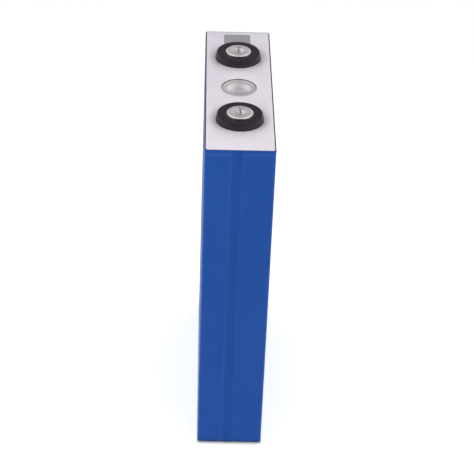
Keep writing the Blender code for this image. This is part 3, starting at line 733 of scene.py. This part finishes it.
def air_pockets():
    """Flat bubbles left under the film on the broad faces, in the same columns as CREASES."""
    random = np.random.default_rng(417)
    out = []
    for face in ("right", "left"):
        for _ in range(26):
            y, z = random.uniform(-56, 56), random.uniform(12, 184)
            length = random.uniform(2.5, 8.0)
            width = length * random.uniform(0.35, 0.7)
            height = random.uniform(0.025, 0.07)
            out.append((face, y, z, length, width, height, random.uniform(1.1, 2.0)))
    return out


POCKETS = air_pockets()
NOISE_SEEDS = {"right": 1.7, "left": 6.2, "front": 2.9, "back": 7.4}


def face_of(nx, ny):
    if abs(nx) > 0.99:
        return "right" if nx > 0 else "left"
    if abs(ny) > 0.99:
        return "back" if ny > 0 else "front"
    return ""


def tilted(across, up, tilt):
    """An offset on a face, as distances along and across a line at the given tilt."""
    return (across * math.cos(tilt) + up * math.sin(tilt),
            -across * math.sin(tilt) + up * math.cos(tilt))


def lap_step(x, y, z):
    """How far the doubled film stands out on a narrow face."""
    if abs(y) < HALF_Y - 0.6:
        return 0.0
    wander = 0.22 * math.sin(z * 0.031 + (0.7 if y < 0 else 2.1)) + 0.12 * math.sin(z * 0.083 + 1.3)
    wavy_x = x - wander * smoothstep(4, 14, z) * (1 - smoothstep(180, 192, z))
    rise = smoothstep(LAP_LEFT - 0.65, LAP_LEFT + 0.25, wavy_x)
    fall = 1 - smoothstep(LAP_RIGHT - 0.6, LAP_RIGHT + 0.65, wavy_x)
    return LAP_PROUD * min(rise, fall)


def film_relief(x, y, z, nx, ny):
    """How far the film stands off its snug place: the can's bulge, slack, creases and pockets."""
    face = face_of(nx, ny)
    if not face:
        return 0.0
    broad = face in ("right", "left")
    along = y if broad else x
    half = (HALF_Y if broad else HALF_X) - CORNER_RADIUS
    # fades out towards the corners, the foot and the top
    inside = ((1 - smoothstep(0.88, 1.0, abs(along) / half)) * smoothstep(1.5, 7, z)
              * (1 - smoothstep(189, 194.6, z)))
    seed = NOISE_SEEDS[face]
    if broad:
        bulge_up = math.sin(math.pi * min(1, max(0, z / 196.0))) ** 0.8
        move = 0.34 * (1 - (y / HALF_Y) ** 2) * bulge_up
        slack = 0.055 * (0.55 + fractal(y * 0.035 + 3.0, z * 0.022, seed))
        slack += 0.022 * (0.5 + fractal(y * 0.16, z * 0.07 + 2.0, seed + 7.0))
        # drawn tight over the long edges, the film lies in faint upright flutes
        flute = smoothstep(0.55, 0.95, abs(along) / half)
        sway = 4.8 * fractal(0.0, z * 0.012, seed + 2.0)
        slack += 0.016 * flute * (1 + math.sin(along * 1.05 + sway))
    else:
        move = 0.0
        slack = 0.030 * (0.55 + fractal(x * 0.09 + 1.0, z * 0.020, seed))
        slack += 0.012 * (0.5 + fractal(x * 0.33, z * 0.040, seed + 2.6))
    move += slack * inside
    for where, place, level, length, width, height, tilt in CREASES:
        across, up = along - place, z - level
        if where != face or abs(across) > length + 4 or abs(up) > length + 4:
            continue
        u, v = tilted(across, up, tilt)
        v += 0.5 * math.sin(u * 0.35)
        if abs(u) < length and abs(v) < 4 * width:
            move += height * (1 - (u / length) ** 2) ** 2 * math.exp(-(v / width) ** 2) * inside
    for where, place, level, length, width, height, tilt in POCKETS:
        across, up = along - place, z - level
        if where != face or abs(across) > length or abs(up) > length:
            continue
        u, v = tilted(across, up, tilt)
        q = (u / length) ** 2 + (v / width) ** 2
        if q < 1:
            move += height * (1 - q) ** 1.5 * (1.6 - 0.6 * q) / 1.6 * inside
    return max(0.0, move)


# ---------------------------------------------------------------- outer film: folded underside
FOLD = 0.45  # thickness of the ends folded together under the cell, three layers deep
FOLD_STEP = 0.14  # width of the slope at each folded edge
END_FLAP_Z, LEFT_FLAP_Z = 0.29, 0.15  # undersides of the end flaps and of the left wall's flap
MITRE = HALF_Y - HALF_X  # |y| at which the mitre lines cross x = 0


def fold_height(x, y):
    """Underside: the right wall's flap under the left wall's, both under the two end flaps."""
    z = END_FLAP_Z + 0.012 * fractal(x * 0.2, y * 0.2, 3.0)
    on_left_flap = (MITRE - x - abs(y)) / math.sqrt(2)
    z += (LEFT_FLAP_Z - END_FLAP_Z) * min(1.0, max(0.0, on_left_flap / FOLD_STEP))
    from_free_edge = x + 2.5 + 0.22 * math.sin(y * 0.06 + 1.0)
    on_right_flap = min(from_free_edge, (MITRE + x - abs(y)) / math.sqrt(2))
    right_flap_z = 0.05 * smoothstep(3.0, 10.0, x)
    z += (right_flap_z - z) * min(1.0, max(0.0, on_right_flap / FOLD_STEP))
    return z


def fold_lines():
    """Both sides of each folded edge, as polylines for the underside's triangles."""
    reach = HALF_X - 1.35
    lines = []
    for sign in (1, -1):
        for off in (0.0, FOLD_STEP * math.sqrt(2)):
            # the right flap's mitre, then the left flap's
            lines.append([(x, sign * (MITRE + x - off)) for x in np.linspace(reach, -2.3 + off, 10)])
            lines.append([(x, sign * (MITRE - x - off)) for x in np.linspace(-reach, -0.3, 9)])
    free_end = MITRE - 3.0
    for off in (0.0, FOLD_STEP):
        lines.append([(-2.5 - 0.22 * math.sin(y * 0.06 + 1.0) + off, y)
                      for y in np.linspace(-free_end, free_end, 31)])
    return lines


def add_underside(verts, faces, border):
    """Fills the film's lowest row, the border, with triangles that follow the folded edges."""
    points, edges = [Vector(verts[i][:2]) for i in border], []
    for line in fold_lines():
        first = len(points)
        points += [Vector(q) for q in line]
        edges += [(first + i, first + i + 1) for i in range(len(line) - 1)]
    # a loose grid, set off from the folds
    for grid_x in np.arange(-15.0, 15.1, 3.0):
        for grid_y in np.arange(-60.0, 60.1, 4.0):
            points.append(Vector((grid_x + 0.13, grid_y + 0.21)))
    count = len(border)
    flat, _, triangles, came_from, _, _ = delaunay_2d_cdt(
        points, edges, [list(range(count))], 1, 1e-4)
    index = []
    for q, sources in zip(flat, came_from):
        own = [k for k in sources if k < count]
        if own:
            index.append(border[own[0]])
        else:
            index.append(len(verts))
            verts.append((q[0], q[1], fold_height(q[0], q[1])))
    faces += [tuple(index[i] for i in t) for t in triangles]


# ---------------------------------------------------------------- outer film: the whole
FOOT = 1.1  # radius of the turn from wall to underside
FOOT_STEPS = 7
LIP_RADIUS = 0.34
LIP_STEPS = 6
LIP_BEAD = 0.27  # how far the lip stands up, everywhere but along the front
SKIN = 0.13  # film thickness
WALL_BOTTOM, WALL_TOP, WALL_STEPS = 2.2, 193.4, 144

# heights from the level front crease of the finer rows drawn across it
CREASE_ROWS = (-1.7, -1.3, -0.95, -0.65, -0.4, -0.2, 0.05, 0.3, 0.55, 0.8, 1.1, 1.5)

# the lip's flat: height under FILM_TOP, inset, share of the bead
LIP_FLAT = ((0.01, 0.56, 1.0), (0.03, 0.63, 0.75), (0.02, 0.66, 0.0), (0.01, 0.9, 0.0), (0.0, 2.2, 0.0))

# the film's inner side from the lip to the folded foot: height, inset
INNER_SIDE = (
    (FILM_TOP - SKIN, 2.2), (FILM_TOP - SKIN, 0.62), (FILM_TOP - SKIN - 0.08, 0.30),
    (FILM_TOP - SKIN - 0.3, 0.14), (192.0, SKIN), (130.0, SKIN), (65.0, SKIN), (2.4, SKIN),
    (1.15, 0.15), (0.72, 0.34), (0.50, 0.72), (FOLD - 0.01, 1.20),
)


def foot_point(point, inset, lift):
    x, y = inward(point, inset)
    base = fold_height(*inward(point, FOOT))
    out = lap_step(point[0], point[1], 1.0) * (1 - inset / FOOT)
    return x + point[2] * out, y + point[3] * out, base * (1 - lift / FOOT) + lift


def wall_point(point, z):
    x, y, nx, ny = point
    out = lap_step(x, y, z) + film_relief(x, y, z, nx, ny)
    return x + nx * out, y + ny * out, z


def lip_point(point, z, inset, lap_share, bead_share):
    x, y = inward(point, inset)
    out = lap_step(point[0], point[1], z) * lap_share
    pucker = 0.018 * fractal(point[0] * 0.8, point[1] * 0.8, 11.0) * (1 - lap_share * 0.6)
    bead = bead_share * LIP_BEAD * smoothstep(-0.98, -0.75, point[3])
    return x + point[2] * out, y + point[3] * out, z + pucker + bead


def build_film():
    plan = perimeter()
    count = len(plan)
    wall_step = (WALL_TOP - WALL_BOTTOM)
    heights = [WALL_BOTTOM + k * wall_step / WALL_STEPS for k in range(WALL_STEPS + 1)]
    heights += [FRONT_CREASE_Z + d for d in CREASE_ROWS]
    heights = sorted(set(round(z, 3) for z in heights)) + [194.4, FILM_TOP - LIP_RADIUS]

    verts = []
    for k in range(FOOT_STEPS + 1):
        a = math.pi / 2 * k / FOOT_STEPS
        inset, lift = FOOT * (1 - math.sin(a)), FOOT * (1 - math.cos(a))
        verts += [foot_point(p, inset, lift) for p in plan]
    for z in heights:
        verts += [wall_point(p, z) for p in plan]
    for k in range(1, LIP_STEPS + 1):
        a = math.pi / 2 * k / LIP_STEPS
        z, inset = FILM_TOP - LIP_RADIUS + LIP_RADIUS * math.sin(a), LIP_RADIUS * (1 - math.cos(a))
        share = k / LIP_STEPS
        verts += [lip_point(p, z, inset, 1 - share, share) for p in plan]
    for drop, inset, bead_share in LIP_FLAT:
        verts += [lip_point(p, FILM_TOP - drop, inset, 0.0, bead_share) for p in plan]
    for z, inset in INNER_SIDE:
        verts += [(*inward(p, inset), z) for p in plan]

    rows = [list(range(first, first + count)) for first in range(0, len(verts), count)]
    faces = bridge(rows)
    faces.append(tuple(rows[-1]))
    add_underside(verts, faces, rows[0])
    obj = make("film_wrap", verts, faces, sharp_angle=40.0)
    settle(obj, "outer_wrap", look="blue_film")


build_film()


# ---------------------------------------------------------------- white sheet
def build_sheet():
    """The sheet, cut with three holes and with softly rolled edges, as one closed solid."""
    roll = 0.09
    hole_steps = 96
    inset = HALF_X - SHEET_HIGH[0]
    half_x, half_y = HALF_X - inset, HALF_Y - inset
    # outline, y of its centre, its reach along x and y, and which way the rolled edge moves it
    outlines = [(plan_loop(half_x, half_y, radius=1.0, arc_steps=6), 0.0, half_x, half_y, -1)]
    holes = [(y, COLLAR_RADIUS + 0.15) for y in STATIONS.values()] + [(0.0, VENT_RADIUS + 0.12)]
    for centre, r in holes:
        angles = [2 * math.pi * k / hole_steps for k in range(hole_steps)]
        circle = [(r * math.cos(a), centre + r * math.sin(a)) for a in angles]
        outlines.append((circle, centre, r, r, 1))
    # height, and how far the edge has rolled back
    levels = [(SHEET_LOW[2], 0.0), (SHEET_TOP - roll, 0.0),
              (SHEET_TOP - roll * 0.35, roll * 0.3), (SHEET_TOP, roll)]
    bm = bmesh.new()
    bottom_edges, top_edges = [], []
    for outline, centre, reach_x, reach_y, way in outlines:
        rows = []
        for z, back in levels:
            scale_x = (reach_x + way * back) / reach_x
            scale_y = (reach_y + way * back) / reach_y
            rows.append([
                bm.verts.new((x * scale_x * MM, (centre + (y - centre) * scale_y) * MM, z * MM))
                for x, y in outline])
        for corners in bridge(rows):
            bm.faces.new(corners)
        for edges, row in ((bottom_edges, rows[0]), (top_edges, rows[-1])):
            edges += [bm.edges.get((row[i], row[(i + 1) % len(row)])) for i in range(len(row))]
    for edges in (bottom_edges, top_edges):
        bmesh.ops.triangle_fill(bm, use_beauty=True, use_dissolve=False, edges=edges)
    bmesh.ops.recalc_face_normals(bm, faces=bm.faces)
    mesh = bpy.data.meshes.new("top_sheet")
    bm.to_mesh(mesh)
    bm.free()
    obj = bpy.data.objects.new("top_sheet", mesh)
    bpy.context.scene.collection.objects.link(obj)
    mesh.shade_smooth()
    mesh.set_sharp_from_angle(angle=math.radians(50))
    settle(obj, "top_insulation_sheet", look="white_sheet")


build_sheet()


# ---------------------------------------------------------------- grey patch
def build_label():
    """Thin printed patch with slightly uneven edges."""
    point_spacing = 0.7
    centre_x, centre_y = ((LABEL_LOW[i] + LABEL_HIGH[i]) / 2 for i in (0, 1))
    half_x, half_y = ((LABEL_HIGH[i] - LABEL_LOW[i]) / 2 for i in (0, 1))
    bottom, top = LABEL_LOW[2], LABEL_HIGH[2]
    outline = plan_loop(half_x, half_y, radius=0.35, arc_steps=4)
    dense = []
    for i, a in enumerate(outline):
        b = outline[(i + 1) % len(outline)]
        parts = max(1, int(math.dist(a, b) / point_spacing))
        for k in range(parts):
            t = k / parts
            dense.append((a[0] + (b[0] - a[0]) * t, a[1] + (b[1] - a[1]) * t))
    verts = []
    for z, shrink in ((bottom, 0.0), (top - 0.02, 0.0), (top, 0.03)):
        for x, y in dense:
            ragged = 0.035 * fractal(x * 1.3 + 5, y * 1.3, 2.2, octaves=2)
            scale = 1 - (shrink - ragged) / max(half_x, half_y)
            verts.append((centre_x + x * scale, centre_y + y * scale, z))
    count = len(dense)
    rows = [list(range(first, first + count)) for first in range(0, len(verts), count)]
    faces = bridge(rows) + [tuple(reversed(rows[0])), tuple(rows[-1])]
    obj = make("label_patch", verts, faces, sharp_angle=40.0)
    settle(obj, "id_label", look="grey_label")


build_label()


# ---------------------------------------------------------------- collars
def build_collar(side, y):
    """Stepped ring round a terminal, with a groove inside its top edge."""
    bottom, top = COLLAR_LOW[2], COLLAR_TOP
    foot_bore = 5.95
    bore = TERMINAL_RADIUS + 0.06
    ledge = TERMINAL_TOP - 3.25
    profile = rounded_profile([  # radius, height, fillet, fillet steps
        (foot_bore, bottom, 0, 0),
        (COLLAR_RADIUS, bottom, 0, 0),
        (COLLAR_RADIUS, bottom + 1.45, 0.28, 6),
        (COLLAR_RADIUS - 0.45, bottom + 1.62, 0.30, 6),
        (COLLAR_RADIUS - 0.55, top, 0.42, 8),
        (TERMINAL_RADIUS + 1.15, top, 0.10, 3),
        (TERMINAL_RADIUS + 0.75, top - 0.38, 0.12, 3),
        (bore, top - 0.42, 0, 0),
        (bore, ledge, 0, 0),
        (foot_bore, ledge, 0, 0),
    ])
    obj = lathe(side + "_collar", profile, steps=128, y=y, sharp_angle=32.0, closed=True)
    settle(obj, side + "_terminal_ring", look="black_plastic")


for side, y in STATIONS.items():
    build_collar(side, y)

# ---------------------------------------------------------------- terminals with an M6 x 1 thread
STEM_RADIUS = 4.9
HEAD_DEPTH = 3.2
THREAD_MINOR, THREAD_MAJOR = 2.5, 2.90
THREAD_MOUTH = THREAD_MAJOR + 0.02
MOUTH_RADIUS = 2.98
THREAD_START = TERMINAL_TOP - 0.18
THREAD_DEPTH = 6.8
THREAD_ROWS = 12  # rows of points to each 1 mm pitch
THREAD_LEAD_IN = 5  # rows over which the thread grows from its mouth


def thread_row(n):
    """Row n of the thread: its radius depends on height and angle, which makes a helix."""
    z = THREAD_START - n / THREAD_ROWS
    depth = THREAD_START - z

    def place(angle):
        phase = (depth + angle / (2 * math.pi)) % 1.0
        tooth = abs(phase - 0.5) * 2  # 0 at the crest, 1 at the root
        shape = min(1.0, max(0.0, (tooth - 0.12) / 0.7))
        if depth > THREAD_DEPTH - 1.0:  # runs out over the last turn
            shape *= max(0.0, THREAD_DEPTH - depth)
        fade = min(1.0, n / THREAD_LEAD_IN)
        threaded = THREAD_MINOR + (THREAD_MAJOR - THREAD_MINOR) * shape
        return THREAD_MOUTH * (1 - fade) + threaded * fade, z

    return place


def build_terminal(side, y):
    bottom, top = TERMINAL_LOW[2], TERMINAL_TOP
    profile = rounded_profile([  # radius, height, fillet, fillet steps
        (0.0, bottom, 0, 0),
        (STEM_RADIUS, bottom, 0, 0),
        (STEM_RADIUS, top - HEAD_DEPTH, 0, 0),
        (TERMINAL_RADIUS, top - HEAD_DEPTH, 0.2, 2),
        (TERMINAL_RADIUS, top - 0.42, 0.25, 5),
        (TERMINAL_RADIUS - 0.70, top, 0.5, 5),
        (MOUTH_RADIUS, top, 0.05, 2),
        (MOUTH_RADIUS, top - 1.0, 0, 0),  # only aims the fillet before it
    ])[:-1]
    profile.append((THREAD_MOUTH, THREAD_START + 0.02))
    profile += [thread_row(n) for n in range(int(THREAD_DEPTH * THREAD_ROWS) + 1)]
    # the hole's plain end, down to a point
    thread_end = THREAD_START - THREAD_DEPTH
    profile += [(THREAD_MINOR, thread_end - 0.35), (0.0, thread_end - 1.25)]
    obj = lathe(side + "_terminal_post", profile, steps=72, y=y, sharp_angle=32.0)
    settle(obj, side + "_terminal", look=side + "_face")


for side, y in STATIONS.items():
    build_terminal(side, y)


# ---------------------------------------------------------------- vent
def weld_ripple(r, z):
    """A point of the weld bead, rippled round the vent by overlapping weld spots."""
    return lambda a: (r, z + 0.022 * math.sin(a * 110) + 0.012 * math.sin(a * 37 + 1))


def build_vent():
    """Dished plate: a slightly domed floor in a ring groove, a sloping wall and a welded rim."""
    top, rim = LID_TOP, VENT_RADIUS
    floor = top - VENT_DEPTH
    skin = 0.4
    dome_radius, dome_rise = 2.1, 0.03
    wall_inner, wall_outer, wall_steps = 2.60, 7.3, 22
    wall_rise = VENT_DEPTH - 0.27
    bead_steps = 8

    upper = [(0.0, floor + dome_rise)]
    upper += [(r, floor + dome_rise * (1 - (r / dome_radius) ** 2))
              for r in (0.6, 1.2, 1.7, dome_radius)]
    # groove round the floor
    upper += [(2.24, floor - 0.004), (2.32, floor - 0.03), (2.40, floor - 0.04),
              (2.48, floor - 0.03), (2.56, floor - 0.004)]
    for k in range(wall_steps + 1):
        t = k / wall_steps
        upper.append((wall_inner + (wall_outer - wall_inner) * t,
                      floor + wall_rise * (0.5 - 0.5 * math.cos(math.pi * t))))
    # flat shoulder, then the step up to the bead
    upper += [(7.7, top - 0.26), (8.05, top - 0.235)]
    upper += [(rim - 1.15, top - 0.19), (rim - 1.0, top - 0.12), (rim - 0.92, top - 0.02)]
    for k in range(1, bead_steps):
        a = math.pi - math.pi * k / bead_steps
        upper.append((rim - 0.52 + 0.36 * math.cos(a), top - 0.02 + 0.15 * math.sin(a)))
    upper += [(rim - 0.1, top - 0.03), (rim, top - 0.06)]
    lower = [(rim, top - skin), (rim - 0.85, top - skin), (6.7, top - 0.27 - skin),
             (2.9, floor - skin), (0.0, floor - skin)]
    profile = []
    for r, z in upper + lower:
        on_bead = rim - 0.95 < r < rim - 0.1 and z > top - 0.05
        profile.append(weld_ripple(r, z) if on_bead else (r, z))
    obj = lathe("vent_plate", profile, steps=220, y=0.0, sharp_angle=40.0)
    settle(obj, "vent_disc", look="vent_aluminium")


build_vent()


# ---------------------------------------------------------------- floor
def floor_material():
    """Pale floor that fades into a glowing white far from the cell."""
    m = Shade("stage_white")
    far = m.span(m.radius(), over=(0.10, 0.55), smooth=True)
    m.put(colour=m.mix(far, (0.80, 0.80, 0.805), (0.0, 0.0, 0.0)), roughness=0.8, specular=0.0,
          emission=(1.0, 1.0, 1.0, 1.0))
    x, y, _ = m.axes()
    # the shade at the foot is wide before the narrow faces and tight along the broad ones
    out_x = m.math("SUBTRACT", m.math("ABSOLUTE", x), (HALF_X - 0.225) * MM)
    out_x = m.times(m.math("MAXIMUM", out_x, 0.0), share=4.0)
    out_y = m.math("SUBTRACT", m.math("ABSOLUTE", y), (HALF_Y - 0.9) * MM)
    out_y = m.math("MAXIMUM", out_y, 0.0)
    away = m.math("SQRT", m.plus(m.times(out_x, out_x), m.times(out_y, out_y)))
    near = m.span(away, over_mm=(0.9, 3.2), to=(0.02, 0.50), smooth=True)
    m.put(emission_strength=m.span(far, over=(0.0, 1.0), to=(near, 1.0)))
    return m.material


def build_stage():
    """A wide square floor, just under the cell."""
    reach_metres, cells = 9.0, 12
    level_metres = -0.00002
    ticks = [-reach_metres + 2 * reach_metres * i / cells for i in range(cells + 1)]
    verts = [(x, y, level_metres) for y in ticks for x in ticks]
    row = cells + 1
    faces = [(j * row + i, j * row + i + 1, (j + 1) * row + i + 1, (j + 1) * row + i)
             for j in range(cells) for i in range(cells)]
    mesh = bpy.data.meshes.new("stage_floor")
    mesh.from_pydata(verts, [], faces)
    mesh.update()
    obj = bpy.data.objects.new("stage_floor", mesh)
    bpy.context.scene.collection.objects.link(obj)
    mesh.materials.append(floor_material())
    obj.visible_glossy = False


build_stage()

# ---------------------------------------------------------------- lights
LIGHT_TARGET = Vector((0, 0, 0.12))  # metres
LIGHT_AZIMUTH = 74  # degrees to either side of the front
LIGHT_ELEVATION = 32  # degrees
LIGHT_DISTANCE = 1.15  # metres
LIGHT_SIZE = (0.75, 0.95)  # metres
FILL_WATTS, SHINE_WATTS = 4.2, 4.6


def soft_box(name, azimuth, power, shine):
    """Soft box; azimuth is positive to the right. It shows either in gloss or as diffuse fill."""
    a, e = math.radians(azimuth), math.radians(LIGHT_ELEVATION)
    way = Vector((math.sin(a) * math.cos(e), -math.cos(a) * math.cos(e), math.sin(e)))
    light = bpy.data.lights.new(name, "AREA")
    light.shape = "RECTANGLE"
    light.size, light.size_y = LIGHT_SIZE
    light.energy = power
    obj = bpy.data.objects.new(name, light)
    bpy.context.scene.collection.objects.link(obj)
    obj.location = LIGHT_TARGET + LIGHT_DISTANCE * way
    obj.rotation_euler = (LIGHT_TARGET - obj.location).to_track_quat("-Z", "Y").to_euler()
    obj.visible_glossy = shine
    obj.visible_diffuse = not shine


for azimuth, word in ((-LIGHT_AZIMUTH, "left"), (LIGHT_AZIMUTH, "right")):
    soft_box("fill_" + word, azimuth, power=FILL_WATTS, shine=False)
    soft_box("shine_" + word, azimuth, power=SHINE_WATTS, shine=True)

# ---------------------------------------------------------------- world
DOME = 0.70  # strength that diffuse rays see all round

# strengths that mirror-like rays see; pairs run from the middle out to the sides
MIRROR_WALLS = (0.50, 0.98)  # beside and behind the cell
MIRROR_TOP = (0.42, 1.28)  # overhead
MIRROR_ZENITH = 1.25  # straight up
MIRROR_FRONT = (0.04, 0.05)  # in front: below, then level
MIRROR_CROWN = (0.10, 2.05)  # in front, high up


def build_world():
    """A pale dome: even in diffuse light; in gloss, white at the sides and dark in front."""
    world = bpy.data.worlds.new("studio")
    bpy.context.scene.world = world
    world.use_nodes = True
    world.cycles.sampling_method = "NONE"
    w = Nodes(world.node_tree)
    x, y, z = w.axes("Generated")

    def choose(factor, when_0, when_1):
        made = w.node("ShaderNodeMix")
        for i, value in ((0, factor), (2, when_0), (3, when_1)):
            w.feed(made.inputs[i], value)
        return made.outputs[0]

    absolute = w.node("ShaderNodeMath", operation="ABSOLUTE")
    w.feed(absolute.inputs[0], x)
    sideways = absolute.outputs[0]
    wall = w.span(sideways, over=(0.05, 0.25), to=MIRROR_WALLS, smooth=True)
    above = w.span(sideways, over=(0.10, 0.32), to=MIRROR_TOP, smooth=True)
    above = w.span(z, over=(0.960, 0.988), to=(above, MIRROR_ZENITH), smooth=True)
    rear = w.span(z, over=(0.78, 0.97), to=(wall, above), smooth=True)
    low_front = w.span(z, over=(-0.30, 0.20), to=MIRROR_FRONT, smooth=True)
    crown = w.span(sideways, over=(0.10, 0.38), to=MIRROR_CROWN, smooth=True)
    front = w.span(z, over=(0.62, 0.78), to=(low_front, crown), smooth=True)
    mirror = w.span(y, over=(-0.60, -0.12), to=(front, rear), smooth=True)
    path = w.node("ShaderNodeLightPath")
    strength = choose(path.outputs["Is Glossy Ray"], DOME, mirror)
    strength = choose(path.outputs["Is Camera Ray"], strength, 1.0)
    background = w.tree.nodes["Background"]
    w.feed(background.inputs["Strength"], strength)
    w.feed(background.inputs["Color"], (1.0, 1.0, 1.0, 1.0))


build_world()

# ---------------------------------------------------------------- camera
# placed from the middle of the front top edge, before the turn below
CAMERA_PLACE = Vector((-8.50, -HALF_Y - 661.9, SHEET_TOP + 403.8))
CAMERA_PITCH = math.radians(34.59)  # downward
CAMERA_ROLL = math.radians(-1.88)
CAMERA_YAW = 0.0215  # radians, clockwise from above, about the middle of the front face
LENS = 117.225114
SENSOR_WIDTH = 36.0


def build_camera():
    """Looks down on the front of the cell, shifted so that the cell is centred in the view."""
    forward = Vector((0, math.cos(CAMERA_PITCH), -math.sin(CAMERA_PITCH)))
    level_right = Vector((1, 0, 0))
    level_down = forward.cross(level_right)
    right = math.cos(CAMERA_ROLL) * level_right + math.sin(CAMERA_ROLL) * level_down
    down = -math.sin(CAMERA_ROLL) * level_right + math.cos(CAMERA_ROLL) * level_down
    pivot = Vector((0, -HALF_Y, 0))
    turn = Matrix.Rotation(-CAMERA_YAW, 3, "Z")
    position = turn @ (CAMERA_PLACE - pivot) + pivot
    right, up, backward = (turn @ v for v in (right, -down, -forward))

    data = bpy.data.cameras.new("camera")
    camera = bpy.data.objects.new("camera", data)
    bpy.context.scene.collection.objects.link(camera)
    rotation = Matrix((right, up, backward)).transposed()
    camera.matrix_world = Matrix.Translation(position * MM) @ rotation.to_4x4()
    data.sensor_width = SENSOR_WIDTH
    data.lens = LENS
    data.clip_start, data.clip_end = 0.05, 50.0

    # where the cell's corners fall, in sensor widths from the optical axis
    across, upward = [], []
    for sign_x in (-1, 1):
        for sign_y in (-1, 1):
            for z in (0.0, SHEET_TOP):
                offset = Vector((sign_x * HALF_X, sign_y * HALF_Y, z)) - position
                scale = LENS / SENSOR_WIDTH / offset.dot(-backward)
                across.append(offset.dot(right) * scale)
                upward.append(offset.dot(up) * scale)
    data.shift_x = (min(across) + max(across)) / 2
    data.shift_y = (min(upward) + max(upward)) / 2
    bpy.context.scene.camera = camera


build_camera()

view = bpy.context.scene.view_settings
view.view_transform = "Standard"
view.look = "None"
view.exposure = 0.0

bpy.context.view_layer.update()
